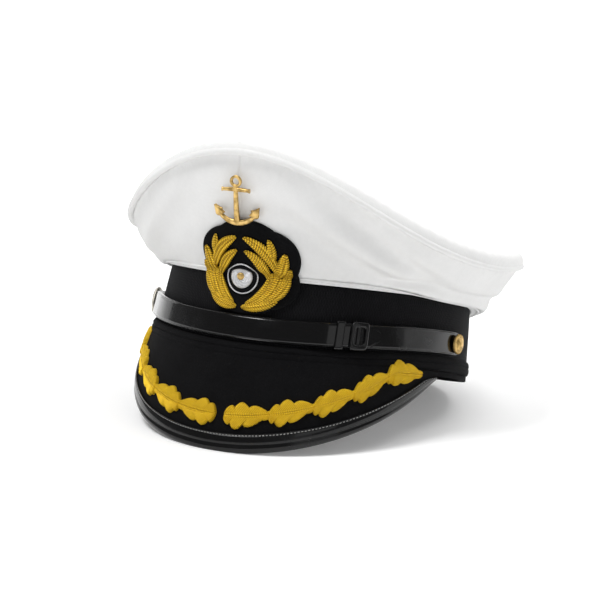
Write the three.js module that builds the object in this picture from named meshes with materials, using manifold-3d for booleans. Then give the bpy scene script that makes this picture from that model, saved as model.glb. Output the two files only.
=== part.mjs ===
// A naval peaked cap: a wide soft crown with a top panel and a piped rim, a tall cloth band,
// a rolled welt, a steep cloth peak bound in patent leather, a buckled chin strap with two
// buttons, and raised gold embroidery. Millimetres, +Z up, the peak faces -Y and the wearer's
// left is +X. The cap rests on the lower edge of its peak and on the back of its band.
import * as THREE from 'three';
import { mergeVertices } from 'three/addons/utils/BufferGeometryUtils.js';
import Module from 'manifold-3d';

const wasm = await Module();
wasm.setup();

// ---- driving dimensions -------------------------------------------------------------------

// Every piece is first shaped with the band upright; the turn round the head, t, is zero at
// the front and grows towards the wearer's left.
const GAP = 0.3;                    // air kept between two sewn or riveted pieces
const HEAD_HALF_LONG = 101;         // outside of the band, front to back, at its foot
const HEAD_HALF_WIDE = 88.4;        // outside of the band, side to side, at its foot
const BAND_TOP = 45.2;              // height of the band's top edge at the front
const BAND_TAPER = 3.5;             // the band leans in by this much at its top
const SIDE_RISE = 11.6;             // the foot of the sides and back is higher than the front's
const TOP_SIDE_RISE = 8.3;          // the band's top edge rises less
const CLOTH = 1.8;                  // crown cloth with its interlining
const BAND_WALL = 2.2;

const STRIP_TOP = 2.7;              // the plain cloth edge under the welt
const STRIP_PROUD = 0.3;
const WELT_BOTTOM = 3.0;
const WELT_TOP = 11.2;
const WELT_PROUD = 2.6;
const WELT_SLIM = 0.6;              // the welt is flatter by this factor at the back

const HEM_HEIGHT = 3.2;             // turned hem at the foot of the white crown
const HEM_PROUD = 1.3;
const CROWN_FOOT = BAND_TOP + GAP;

const RIM_HALF_WIDE = 110.3;        // crown rim, at the middle of its piping
const RIM_HALF_LONG = 128.9;
const RIM_BACK_SHIFT = -2.5;
const RIM_WAVES = [85.6, 0, 10.8, 6.7, 0.9];   // rim height: cosines of t, 2t, 3t and 4t
const PIPING_RADIUS = 1.6;

const TOP_LIP = 6.3;                // the top panel rolls up over the rim by this much
const TOP_LIP_REACH = 0.075;        // share of the panel's radius that the roll takes
const TOP_DOME = 8.3;               // loose cloth puffs up in the middle
const TOP_DOME_BACK = 9.3;          // and more so towards the back

const PEAK_END = THREE.MathUtils.degToRad(78);    // where the peak meets the band's sides
const PEAK_HALF_WIDE = 82.7;        // free edge of the peak
const PEAK_REACH = 90.5;
const PEAK_BACK = 21.2;
const PEAK_END_HEIGHT = 12.7;
const PEAK_DROP = 58.4;
const PEAK_DROP_POWER = 0.9;
const PEAK_THICK = 2;
const PEAK_BULGE = 3;
const PEAK_ROOT = 2.4;              // the peak starts at this height of the foot strip
const BINDING_WIDE = 9.8;           // on the upper face, with the round bead of its outer edge
const BINDING_THICK = 0.9;
const BEAD_RADIUS = 2.3;
const SHELL_INSET = 3.3;            // the stiff shell of the peak stops short of the bead
const FLOOR_CUT = 0.8;              // leather and cloth pressed flat where the cap rests

const STRAP_BOTTOM = 12.4;
const STRAP_TOP = 25.4;
const STRAP_THICK = 1.4;
const STRAP_END_RIGHT = THREE.MathUtils.degToRad(-75);
const STRAP_END_LEFT = THREE.MathUtils.degToRad(83);
const OVERLAP_START = THREE.MathUtils.degToRad(32);
const BUCKLE_TURN = THREE.MathUtils.degToRad(40.5);
const STRAP_TIP = THREE.MathUtils.degToRad(48.5);
const STRAP_STAND = 1.5;            // the strap stands off the band, by more over the overlap
const SHANK_LIFT = 3.6;             // the right button's shank lifts the strap's end
const BUTTON_RADIUS = { right: 8.2, left: 5.4 };
const BUTTON_HEIGHT = 3.6;

const PATCH_HALF_WIDE = 27;
const PATCH_BOTTOM = 26.4;
const PATCH_TOP = 73.6;
const PATCH_SHIFT = 3;              // the badge's cloth spreads further to the wearer's left
const PATCH_THICK = 1.8;
const BRIDGE_SPAN = 6;              // the badge spans the foot of the crown over this height
const BRIDGE_SLOPE = 0.7;           // how much more the crown leans out than the band

// ---- finishes -----------------------------------------------------------------------------

const finish = (color, roughness, metalness = 0) =>
  () => new THREE.MeshStandardMaterial({ color, roughness, metalness });
const whiteCotton = finish(0xf2f1ee, 0.9);
const blackMohair = finish(0x15151a, 0.85);
const blackWool = finish(0x121216, 0.95);
const patentLeather = finish(0x0b0b0d, 0.12);
const goldThread = finish(0xd9a514, 0.45, 0.35);
const gilt = finish(0xc99a3c, 0.3, 0.9);
const silverWire = finish(0xd8d8dc, 0.35, 0.7);
const blueEnamel = finish(0x17305f, 0.35);

// ---- small helpers ------------------------------------------------------------------------

const { clamp, lerp, smoothstep, degToRad } = THREE.MathUtils;
const FULL_TURN = 2 * Math.PI;

function mapVertices(geometry, place) {
  const bare = new THREE.BufferGeometry();
  bare.setAttribute('position', geometry.getAttribute('position').clone());
  if (geometry.index) bare.setIndex(geometry.index.clone());
  const position = bare.getAttribute('position');
  for (let i = 0; i < position.count; i++) {
    const point = place(position.getX(i), position.getY(i), position.getZ(i));
    position.setXYZ(i, point.x, point.y, point.z);
  }
  return closed(bare);
}

// Merges the shared corners, drops flattened triangles and turns every face outwards.
function closed(geometry) {
  const merged = mergeVertices(geometry, 1e-3);
  const index = merged.index.array;
  const kept = [];
  for (let i = 0; i < index.length; i += 3) {
    const [a, b, c] = [index[i], index[i + 1], index[i + 2]];
    if (a !== b && b !== c && c !== a) kept.push(a, b, c);
  }
  merged.setIndex(kept);
  if (signedVolume(merged) < 0) {
    for (let i = 0; i < kept.length; i += 3) {
      [kept[i + 1], kept[i + 2]] = [kept[i + 2], kept[i + 1]];
    }
    merged.setIndex(kept);
  }
  return merged;
}

function signedVolume(geometry) {
  const position = geometry.getAttribute('position');
  const index = geometry.index.array;
  const [a, b, c] = [new THREE.Vector3(), new THREE.Vector3(), new THREE.Vector3()];
  let volume = 0;
  for (let i = 0; i < index.length; i += 3) {
    a.fromBufferAttribute(position, index[i]);
    b.fromBufferAttribute(position, index[i + 1]);
    c.fromBufferAttribute(position, index[i + 2]);
    volume += a.dot(b.cross(c)) / 6;
  }
  return volume;
}

// A closed profile of [across, up] pairs carried all round the head: place(t, across, up).
// The profile is drawn about a mid radius of RING, which only keeps it clear of the axis.
const RING = 1000;
function ring(profile, segments, place) {
  const points = [...profile, profile[0]].map(([x, y]) => new THREE.Vector2(RING + x, y));
  const lathe = new THREE.LatheGeometry(points, segments);
  return mapVertices(lathe, (x, y, z) => place(Math.atan2(x, z), Math.hypot(x, z) - RING, y));
}

// A closed profile carried along an open run: place(u, across, up) with u from 0 to 1.
function run(profile, steps, place) {
  const shape = new THREE.Shape(profile.map(([x, y]) => new THREE.Vector2(x, y)));
  const bar = new THREE.ExtrudeGeometry(shape, { depth: 1, steps, bevelEnabled: false });
  return mapVertices(bar, (x, y, z) => place(z, x, y));
}

// A round pad of rings and spokes: place(share of the radius, angle, layer), where the layer
// is 1 on the face and 0 on the back. The face runs outwards and the back inwards.
function pad(face, back, spokes, place) {
  const points = [...face.map((share) => new THREE.Vector2(share, 1)),
    ...back.map((share) => new THREE.Vector2(share, 0))];
  const lathe = new THREE.LatheGeometry(points, spokes);
  return mapVertices(lathe, (x, y, z) => place(Math.hypot(x, z), Math.atan2(x, z), y));
}

function toSolid(geometry) {
  const mesh = new wasm.Mesh({
    numProp: 3,
    vertProperties: new Float32Array(geometry.getAttribute('position').array),
    triVerts: new Uint32Array(geometry.index.array),
  });
  return new wasm.Manifold(mesh);
}

function toGeometry(solid) {
  const mesh = solid.getMesh();
  const geometry = new THREE.BufferGeometry();
  geometry.setAttribute('position', new THREE.BufferAttribute(mesh.vertProperties, 3));
  geometry.setIndex(new THREE.BufferAttribute(mesh.triVerts, 1));
  return geometry;
}

const joined = (geometries) => toGeometry(
  geometries.map(toSolid).reduce((whole, next) => whole.add(next)));
const cut = (geometry, tool) => toGeometry(toSolid(geometry).subtract(tool));

const cap = new THREE.Group();
function add(name, geometry, material) {
  const mesh = new THREE.Mesh(geometry, material());
  mesh.geometry.computeVertexNormals();
  mesh.name = name;
  cap.add(mesh);
  return mesh;
}

// ---- the shapes that the pieces share -----------------------------------------------------

function bandPoint(t, proud, height) {
  const out = proud - BAND_TAPER * clamp(height / BAND_TOP, 0, 1.1);
  const share = clamp((height - STRAP_TOP) / (BAND_TOP - STRAP_TOP), 0, 1);
  const side = Math.sin(t) ** 2;
  const rise = lerp(SIDE_RISE * (Math.cos(t) > 0 ? side : 1), TOP_SIDE_RISE * side, share);
  return new THREE.Vector3(
    (HEAD_HALF_WIDE + out) * Math.sin(t), -(HEAD_HALF_LONG + out) * Math.cos(t), height + rise);
}

function rimHeight(t) {
  return RIM_WAVES.reduce((sum, size, wave) => sum + size * Math.cos(wave * t), 0);
}

function rimPoint(t, out = 0, up = 0) {
  return new THREE.Vector3((RIM_HALF_WIDE + out) * Math.sin(t),
    RIM_BACK_SHIFT - (RIM_HALF_LONG + out) * Math.cos(t), rimHeight(t) + up);
}

// Folds of the crown's side, as ridges and valleys (minus) from one place to another:
// turn in degrees and share of the way up, width in mm, height in mm.
const FOLDS = [
  { t0: 14, s0: 0.72, t1: 52, s1: 0.42, wide: 9, high: 2.2 },
  { t0: 12, s0: 0.52, t1: 50, s1: 0.22, wide: 7, high: -2.4 },
  { t0: 22, s0: 0.86, t1: 66, s1: 0.45, wide: 8, high: -2.4 },
  { t0: 46, s0: 0.2, t1: 62, s1: 0.3, wide: 5, high: -3.4 },
  { t0: -16, s0: 0.7, t1: -46, s1: 0.3, wide: 9, high: -1.8 },
  { t0: -40, s0: 0.62, t1: -74, s1: 0.2, wide: 8, high: 1.8 },
  { t0: 100, s0: 0.75, t1: 140, s1: 0.3, wide: 10, high: -2.2 },
  { t0: 168, s0: 0.3, t1: 205, s1: 0.75, wide: 11, high: -2.2 },
  { t0: -96, s0: 0.25, t1: -140, s1: 0.7, wide: 10, high: -2.2 },
];
const FOLD_GIRTH = 105;             // mm for each radian of turn
const FOLD_RISE = 55;               // mm from the foot of the crown to its rim

function foldHeight(t, s) {
  let sum = 0;
  for (const { t0, s0, t1, s1, wide, high } of FOLDS) {
    const middle = degToRad((t0 + t1) / 2);
    const turn = Math.atan2(Math.sin(t - middle), Math.cos(t - middle));
    const span = [degToRad(t1 - t0) * FOLD_GIRTH, (s1 - s0) * FOLD_RISE];
    const length = Math.hypot(...span);
    const from = [turn * FOLD_GIRTH, (s - (s0 + s1) / 2) * FOLD_RISE];
    const along = (from[0] * span[0] + from[1] * span[1]) / length;
    const across = (from[0] * span[1] - from[1] * span[0]) / length;
    sum += high * Math.exp(-((across / wide) ** 2) - (2 * along / length) ** 4);
  }
  return sum * Math.sin(Math.PI * clamp(s, 0, 1)) ** 0.5;
}

// The side of the crown: s is 0 at its foot and 1 at the rim, `proud` is out of the cloth.
function crownPoint(t, s, proud) {
  const foot = bandPoint(t, 0, CROWN_FOOT);
  const rim = rimPoint(t, -PIPING_RADIUS - 2 * GAP, -0.4);
  const reach = Math.hypot(rim.x, rim.y) - Math.hypot(foot.x, foot.y);
  const climb = rim.z - foot.z;
  const chord = Math.hypot(reach, climb);
  const side = Math.sin(t) ** 2;
  const back = smoothstep(Math.abs(t), degToRad(35), degToRad(75));
  const bulge = lerp(3, 5.5, side) * Math.sin(Math.PI * s);
  const roll = (t > 0 ? 3.6 : 2.6) * back * Math.exp(-(((s - 0.14) / 0.13) ** 2));
  const crease = -1.6 * back * Math.exp(-(((s - 0.36) / 0.09) ** 2));
  const taper = Math.min(1, s / 0.05);
  const lift = proud + (bulge + roll + crease + foldHeight(t, s)) * (s <= 0 ? 0 : taper);
  const steep = smoothstep(s, 0, 0.12);
  const outward = lerp(1, climb / chord, steep) * lift;
  const upward = lerp(0, -reach / chord, steep) * lift;
  const turn = new THREE.Vector2(rim.x + foot.x, rim.y + foot.y).normalize();
  const point = foot.lerp(rim, s);
  point.x += turn.x * outward;
  point.y += turn.y * outward;
  point.z += upward;
  return point;
}

// The peak: u is -1 at the wearer's right end and 1 at the left, w is 0 at the band and 1 at
// the free edge, `proud` is out of the upper face.
function peakEdge(u) {
  const t = u * Math.PI / 2;
  const front = Math.max(Math.cos(t), 0);
  return new THREE.Vector3(PEAK_HALF_WIDE * Math.sin(t), -PEAK_BACK - PEAK_REACH * front,
    PEAK_END_HEIGHT - PEAK_DROP * front ** PEAK_DROP_POWER);
}

function peakRoot(u) {
  const proud = STRIP_PROUD + 1.4 * GAP + PEAK_THICK / 2;
  return bandPoint(u * PEAK_END, proud, PEAK_ROOT);
}

function peakMiddle(u, w) {
  const point = peakRoot(u).lerp(peakEdge(u), w);
  const bulge = PEAK_BULGE * 4 * w * (1 - w) * Math.cos(u * Math.PI / 2);
  return point.add(new THREE.Vector3(Math.sin(u * 1.3), -Math.cos(u * 1.3), 0)
    .multiplyScalar(bulge));
}

const STEP = 1e-3;
function peakPoint(u, w, proud) {
  const along = peakRoot(u + STEP).sub(peakRoot(u - STEP));
  const down = peakEdge(u).sub(peakRoot(u));
  const normal = new THREE.Vector3().crossVectors(along, down).normalize();
  return peakMiddle(u, w).addScaledVector(normal, -proud);
}

const peakWidth = (u) => peakRoot(u).distanceTo(peakEdge(u));

// The share of the way down the peak that lies `inset` mm in from its free edge.
const insetShare = (u, inset) => Math.max(0.02, 1 - inset / peakWidth(u));

// ---- crown --------------------------------------------------------------------------------

const RING_STEPS = 44;
const CROWN_STEPS = 64;
const CROWN_RISE = [0, 0.06, 0.13, 0.21, 0.3, 0.4, 0.55, 0.75, 1];
const CROWN_INSIDE = [1, 0.6, 0.25, 0];

function crownSide() {
  const face = CROWN_RISE.map((s) => [0, s]);
  const back = CROWN_INSIDE.map((s) => [-CLOTH, s]);
  return ring([...face, ...back], CROWN_STEPS, (t, proud, s) => crownPoint(t, s, proud));
}

// The hem lies on the cloth: `up` is mm along the cloth from its foot, `proud` is square to it.
function hemPoint(t, proud, up) {
  const long = crownPoint(t, 1, 0).distanceTo(crownPoint(t, 0, 0));
  const point = crownPoint(t, up / long, 0);
  const along = crownPoint(t, up / long + 0.03, 0).sub(point);
  const round = new THREE.Vector3(
    HEAD_HALF_WIDE * Math.cos(t), HEAD_HALF_LONG * Math.sin(t), 0);
  return point.addScaledVector(round.cross(along).normalize(), proud);
}

function crownHem() {
  const rows = [[GAP, 0], [HEM_PROUD, 0.2], [HEM_PROUD, HEM_HEIGHT - 0.3], [GAP, HEM_HEIGHT]];
  return ring(rows, RING_STEPS, hemPoint);
}

// The cloth of the top panel is held at the rim, hangs between as a film would, and puffs up.
function topPoint(t, share, layer) {
  const film = RIM_WAVES.reduce(
    (sum, size, wave) => sum + size * share ** wave * Math.cos(wave * t), 0);
  const dome = (TOP_DOME - TOP_DOME_BACK * share * Math.cos(t)) * (1 - share ** 2);
  const inward = clamp((1 - share) / TOP_LIP_REACH, 0, 1);
  const lip = TOP_LIP * Math.sqrt(1 - (1 - inward) ** 2);
  const out = 1.4 * Math.exp(-(((1 - share - 0.015) / 0.02) ** 2));
  const inside = layer > 0.5 ? 0 : CLOTH;
  const x = (RIM_HALF_WIDE + out - inside) * share * Math.sin(t);
  const y = RIM_BACK_SHIFT - (RIM_HALF_LONG + out - inside) * share * Math.cos(t);
  const drop = inside * (1 - share ** 8);
  return new THREE.Vector3(x, y, film + dome + lip - drop + PIPING_RADIUS + GAP);
}

function crownTop() {
  const face = [0, 0.3, 0.58, 0.8, 0.92, 0.975, 1];
  return pad(face, [1, 0.94, 0.6, 0], RING_STEPS, (share, t, layer) => topPoint(t, share, layer));
}

function crownPiping() {
  const sides = 6;
  const circle = Array.from({ length: sides }, (_, i) => {
    const angle = (i / sides) * FULL_TURN;
    return [PIPING_RADIUS * Math.cos(angle), PIPING_RADIUS * Math.sin(angle)];
  });
  return ring(circle, RING_STEPS, (t, out, up) => rimPoint(t, out, up));
}

// ---- band, welt and foot ------------------------------------------------------------------

function headBand() {
  const heights = [WELT_BOTTOM, STRAP_TOP, BAND_TOP];
  const face = heights.map((height) => [0, height]);
  const back = [...heights].reverse().map((height) => [-BAND_WALL, height]);
  return ring([...face, ...back], RING_STEPS, bandPoint);
}

function baseStrip() {
  const rows = [[STRIP_PROUD, 0], [STRIP_PROUD, STRIP_TOP], [-BAND_WALL, STRIP_TOP],
    [-BAND_WALL, 0]];
  return ring(rows, RING_STEPS, bandPoint);
}

function lowerWelt() {
  const rows = [[GAP, WELT_BOTTOM], [WELT_PROUD * 0.7, WELT_BOTTOM + 0.2],
    [WELT_PROUD, WELT_BOTTOM + 2.4], [WELT_PROUD, WELT_TOP - 3], [WELT_PROUD * 0.6, WELT_TOP - 0.3],
    [GAP, WELT_TOP]];
  const slim = (t) => lerp(WELT_SLIM, 1, smoothstep(Math.cos(t), -0.2, 0.35));
  return ring(rows, RING_STEPS, (t, proud, height) => bandPoint(
    t, Math.max(GAP, proud * slim(t)), height));
}

// The space of the welt and the foot strip with its air, which the peak stays out of.
function bandKeepOut() {
  const deep = -8;
  const rows = [[deep, -GAP], [STRIP_PROUD + GAP, -GAP], [STRIP_PROUD + GAP, WELT_BOTTOM - GAP],
    [WELT_PROUD + GAP, WELT_BOTTOM - GAP], [WELT_PROUD + GAP, WELT_TOP + GAP],
    [deep, WELT_TOP + GAP]];
  return toSolid(ring(rows, 2 * RING_STEPS, bandPoint));
}
const keepOut = bandKeepOut();

// ---- peak ---------------------------------------------------------------------------------

const PEAK_STEPS = 30;
const PEAK_SPAN = 0.965;            // the last of the run only thins out under the welt

function peakShell() {
  const rows = [0, 0.35, 0.7, 1];
  const face = rows.map((share) => [share, PEAK_THICK / 2]);
  const back = [...rows].reverse().map((share) => [share, -PEAK_THICK / 2]);
  return run([...face, ...back], PEAK_STEPS, (along, share, proud) => {
    const u = PEAK_SPAN * (2 * along - 1);
    return peakPoint(u, share * insetShare(u, SHELL_INSET), proud);
  });
}

function peakBinding() {
  const inner = PEAK_THICK / 2 + 1.5 * GAP;
  const outer = inner + BINDING_THICK;
  const centre = BEAD_RADIUS;
  const bead = [-110, -55, 0, 55, 110].map((degrees) => [
    centre - BEAD_RADIUS * Math.cos(degToRad(degrees)), BEAD_RADIUS * Math.sin(degToRad(degrees))]);
  const rows = [[BINDING_WIDE - 1.5, -inner], [BINDING_WIDE - 1.5, -outer], ...bead,
    [BINDING_WIDE, outer], [BINDING_WIDE, inner], [SHELL_INSET - GAP, inner],
    [SHELL_INSET - GAP, -inner]];
  return run(rows, PEAK_STEPS, (along, inset, proud) => {
    const u = PEAK_SPAN * (2 * along - 1);
    return peakPoint(u, insetShare(u, Math.min(inset, 0.7 * peakWidth(u))), proud);
  });
}

// Oak leaves in raised embroidery, in a row from the gap at the front to each end.
const LEAF_COUNT = 5;
const LEAF_LONG = 25.5;
const LEAF_WIDE = 6.4;              // half the width over its lobes
const LEAF_PITCH = 22.5;
const LEAF_INSET = 19;              // the front midribs, from the peak's free edge
const LEAF_CLIMB = 12;              // the row climbs away from that edge towards its ends
const LEAF_LOBES = 7;
const GAP_SHIFT = 5;                // the gap lies a little to the wearer's left
const GAP_HALF = 2.2;
const leafInset = (u) => Math.min(LEAF_INSET + LEAF_CLIMB * u ** 2, peakWidth(u) - 1.5);
const leafLengths = tableOfLengths();

function tableOfLengths() {
  const rows = [{ u: 0, length: 0 }];
  let last = peakPoint(0, insetShare(0, leafInset(0)), 0);
  for (let u = 0.01; u < 0.97; u += 0.01) {
    const next = peakPoint(u, insetShare(u, leafInset(u)), 0);
    rows.push({ u, length: rows.at(-1).length + next.distanceTo(last) });
    last = next;
  }
  return rows;
}

function turnAtLength(length) {
  const size = Math.abs(length);
  const next = Math.max(1, leafLengths.findIndex((row) => row.length > size));
  const [low, high] = [leafLengths[next - 1], leafLengths[next]];
  const share = (size - low.length) / (high.length - low.length);
  return Math.sign(length) * lerp(low.u, high.u, share);
}

function oakLeaf(start, side) {
  return pad([0, 0.6, 1], [1, 0], 2 * LEAF_LOBES, (share, angle, layer) => {
    const ellipse = 1 / Math.hypot(Math.cos(angle) / (LEAF_LONG / 2), Math.sin(angle) / LEAF_WIDE);
    const lobes = 1 + 0.12 * Math.cos(LEAF_LOBES * angle);
    const along = start + LEAF_LONG / 2 - share * ellipse * lobes * Math.cos(angle);
    const across = share * ellipse * lobes * Math.sin(angle);
    const u = turnAtLength(side * along + GAP_SHIFT);
    const high = layer > 0.5 ? lerp(2, 0.9, share ** 2) : 0;
    return peakPoint(u, 1 - (leafInset(u) + across) / peakWidth(u), PEAK_THICK / 2 + GAP + high);
  });
}

function leafSpray(side) {
  const starts = Array.from({ length: LEAF_COUNT }, (_, i) => GAP_HALF + i * LEAF_PITCH);
  return toGeometry(toSolid(joined(starts.map((start) => oakLeaf(start, side)))).subtract(keepOut));
}

// ---- chin strap ---------------------------------------------------------------------------

const STRAP_MIDDLE = (STRAP_BOTTOM + STRAP_TOP) / 2;
const STRAP_HALF = (STRAP_TOP - STRAP_BOTTOM) / 2;
const STRAP_ROUND = degToRad(4.4);  // the round ends under the buttons
const STRAP_POINT = degToRad(4);    // the pointed end past the buckle
const OVER = STRAP_STAND + STRAP_THICK + GAP;

// One half of the strap, from its round end to its free end, `stand` off the band.
function strapHalf(from, to, steps, stand, halfAt) {
  const rows = [[0, -1], [STRAP_THICK, -1], [STRAP_THICK, 1], [0, 1]];
  return run(rows, steps, (along, proud, up) => {
    const t = lerp(from, to, along);
    return bandPoint(t, stand(t) + proud, STRAP_MIDDLE + up * halfAt(t));
  });
}

function roundedEnd(t) {
  const past = clamp(Math.max(STRAP_END_RIGHT - t, t - STRAP_END_LEFT) / STRAP_ROUND, 0, 0.97);
  return STRAP_HALF * Math.sqrt(1 - past ** 2);
}

function strapLong() {
  const lift = (t) => SHANK_LIFT * smoothstep(-t, degToRad(50), -STRAP_END_RIGHT);
  const stand = (t) => lerp(STRAP_STAND, OVER, smoothstep(t, degToRad(21), OVERLAP_START)) + lift(t);
  const pointed = (t) => clamp((STRAP_TIP - t) / STRAP_POINT, 0.12, 1);
  return strapHalf(STRAP_END_RIGHT - STRAP_ROUND, STRAP_TIP, 44, stand,
    (t) => roundedEnd(Math.min(t, 0)) * pointed(t));
}

function strapShort() {
  return strapHalf(OVERLAP_START - degToRad(1), STRAP_END_LEFT + STRAP_ROUND, 20,
    () => STRAP_STAND, roundedEnd);
}

// A sleeve of patent leather round both halves of the strap.
const SLEEVE_WALL = 0.6;
function sleeve(middle, half, wall) {
  const bottom = STRAP_BOTTOM - GAP;
  const top = STRAP_TOP + GAP;
  const inside = STRAP_STAND - GAP;
  const outside = OVER + STRAP_THICK + GAP;
  const tube = (grow, front, over) => run([
    [inside - grow, bottom - grow], [outside + front, bottom - grow],
    [outside + front, top + grow], [inside - grow, top + grow]], 3,
  (along, proud, up) => bandPoint(middle + (2 * along - 1) * (half + over), proud, up));
  return toSolid(tube(SLEEVE_WALL, wall, 0)).subtract(toSolid(tube(0, 0, 0.01)));
}

const strapKeeper = () => toGeometry(sleeve(degToRad(34.4), degToRad(1.3), SLEEVE_WALL));

// The slide buckle: a thicker sleeve with a window that shows the strap under its bar.
function strapBuckle() {
  const half = degToRad(2.9);
  const wall = 1.5;
  const frame = sleeve(BUCKLE_TURN, half, wall);
  const outside = OVER + STRAP_THICK + GAP;
  const window = pad([0, 1], [1, 0], 12, (share, angle, layer) => bandPoint(
    BUCKLE_TURN + degToRad(0.5) + share * half * 0.62 * Math.cos(angle), outside + 3 * layer - 0.5,
    STRAP_MIDDLE + share * 3.9 * Math.sin(angle)));
  return toGeometry(frame.subtract(toSolid(window)));
}

function button(radius) {
  const profile = [[0, 0], [0.83, 0], [1, 0.7], [1, 1.5], [0.86, 1.9],
    [0.5, BUTTON_HEIGHT - 0.5], [0, BUTTON_HEIGHT]];
  const points = profile.map(([x, y]) => new THREE.Vector2(radius * x, y));
  const lathe = new THREE.LatheGeometry(points, 14);
  return mapVertices(lathe, (x, y, z) => new THREE.Vector3(x, y, z));
}

function addButton(name, t, radius, lift) {
  const proud = STRAP_STAND + lift + STRAP_THICK + 2 * GAP;
  const seat = bandPoint(t, proud, STRAP_MIDDLE);
  const outward = bandPoint(t, proud + 1, STRAP_MIDDLE).sub(seat);
  const along = bandPoint(t + STEP, proud, STRAP_MIDDLE).sub(seat);
  const up = new THREE.Vector3(0, 0, 1);
  const axis = new THREE.Vector3().crossVectors(along, up).normalize();
  if (axis.dot(outward) < 0) axis.negate();
  const mesh = add(name, button(radius), gilt);
  mesh.position.copy(seat);
  mesh.quaternion.setFromUnitVectors(new THREE.Vector3(0, 1, 0), axis);
}

// ---- badge --------------------------------------------------------------------------------

// A place on the front of the cap: mm across, height up the band and crown, mm proud of them.
// The badge is stiff, so it bridges the corner where the crown leans out from the band.
function facePoint(across, height, proud) {
  const t = across / HEAD_HALF_WIDE;
  const away = Math.abs(height - CROWN_FOOT) / BRIDGE_SPAN;
  const out = proud + BRIDGE_SLOPE * BRIDGE_SPAN * Math.log(1 + Math.exp(-away));
  if (height <= CROWN_FOOT) return bandPoint(t, out, height);
  return crownPoint(t, (height - CROWN_FOOT) / (rimHeight(0) - CROWN_FOOT), out);
}

const PATCH_MIDDLE = (PATCH_BOTTOM + PATCH_TOP) / 2;
const PATCH_HALF_HIGH = (PATCH_TOP - PATCH_BOTTOM) / 2;
const ON_PATCH = 2 * GAP + PATCH_THICK;
const SUNK = 0.7;                   // pieces are drawn this deep, then cut clear of the patch

const patchKeepOut = toSolid(badgePatch(PATCH_THICK + GAP));

function badgePatch(thick) {
  const rows = [0, 0.25, 0.5, 0.75, 1];
  return pad(rows, [...rows].reverse(), 28, (share, angle, layer) => {
    const [x, y] = [Math.sin(angle), Math.cos(angle)];
    const shield = (Math.abs(x) ** 2.6 + Math.abs(y) ** 2.6) ** (-1 / 2.6);
    const scallop = 0.955 + 0.075 * Math.abs(Math.cos(3 * angle));
    const edge = share * shield * scallop;
    return facePoint(PATCH_SHIFT + PATCH_HALF_WIDE * edge * x,
      PATCH_MIDDLE + PATCH_HALF_HIGH * edge * y, GAP + layer * thick);
  });
}

// The two halves of a laurel wreath. Each leaf goes from its foot to its tip and is bent
// outwards by `bend`; x is across, z is height, and `half` is half the leaf's width.
const WREATH_LEAVES = [
  { x0: 1.6, z0: 29, x1: 18.6, z1: 34, half: 2.8, bend: 1 },
  { x0: 3.6, z0: 31, x1: 13.4, z1: 45, half: 2.5, bend: 2.6 },
  { x0: 8, z0: 30.5, x1: 18.4, z1: 49, half: 3.3, bend: 2.4 },
  { x0: 14.6, z0: 33, x1: 23, z1: 46.6, half: 3, bend: 1 },
  { x0: 16.4, z0: 44, x1: 21.2, z1: 61.4, half: 3, bend: 0.6 },
  { x0: 13.6, z0: 44, x1: 2.2, z1: 60, half: 2.7, bend: 2.6 },
  { x0: 17.6, z0: 50.6, x1: 2, z1: 66.4, half: 3, bend: 2.6 },
];
const WREATH_REACH = { left: 1.08, right: 0.94 };   // its left half is the wider one

function laurelLeaf({ x0, z0, x1, z1, half, bend }, reach, side) {
  const long = Math.hypot(x1 - x0, z1 - z0);
  return pad([0, 0.55, 1], [1, 0], 8, (share, angle, layer) => {
    const along = (1 - share * Math.cos(angle)) / 2;
    const across = share * half * Math.sin(angle) * Math.abs(Math.sin(angle)) ** 0.3
      + 4 * bend * along * (1 - along);
    const high = layer > 0.5 ? lerp(1.9, 0.7, share ** 2) : -SUNK;
    const x = lerp(x0, x1, along) + across * (z1 - z0) / long;
    return facePoint(side * reach * x, lerp(z0, z1, along) - across * (x1 - x0) / long,
      ON_PATCH + high);
  });
}

const offPatch = (geometry) => cut(geometry, patchKeepOut);
const wreathHalf = (reach, side) => offPatch(
  joined(WREATH_LEAVES.map((leaf) => laurelLeaf(leaf, reach, side))));

const COCKADE_HEIGHT = 44.5;
const COCKADE_RADIUS = 9.2;
const RING_THICK = 0.7;
function disc(radius, low, high, dome, spokes) {
  return pad([0, 0.5, 1], [1, 0.5, 0], spokes, (share, angle, layer) => facePoint(
    share * radius * Math.sin(angle), COCKADE_HEIGHT + share * radius * Math.cos(angle),
    lerp(low, high + dome * (1 - share ** 2), layer)));
}

function cockadeRing() {
  const torus = new THREE.TorusGeometry(COCKADE_RADIUS - RING_THICK, RING_THICK, 5, 16);
  return offPatch(mapVertices(torus,
    (x, y, z) => facePoint(x, COCKADE_HEIGHT + y, ON_PATCH + RING_THICK / 2 + z)));
}

const GROUND_TOP = ON_PATCH + 0.9;
const groundRadius = COCKADE_RADIUS - 2 * RING_THICK - GAP;
const cockadeGround = () => offPatch(disc(groundRadius, ON_PATCH - SUNK, GROUND_TOP, 0, 14));

// The wire disc is padded, so it stands well out of its ground.
const cockadeDisc = () => disc(6, GROUND_TOP + GAP, GROUND_TOP + 1.9, 0.9, 14);

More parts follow.
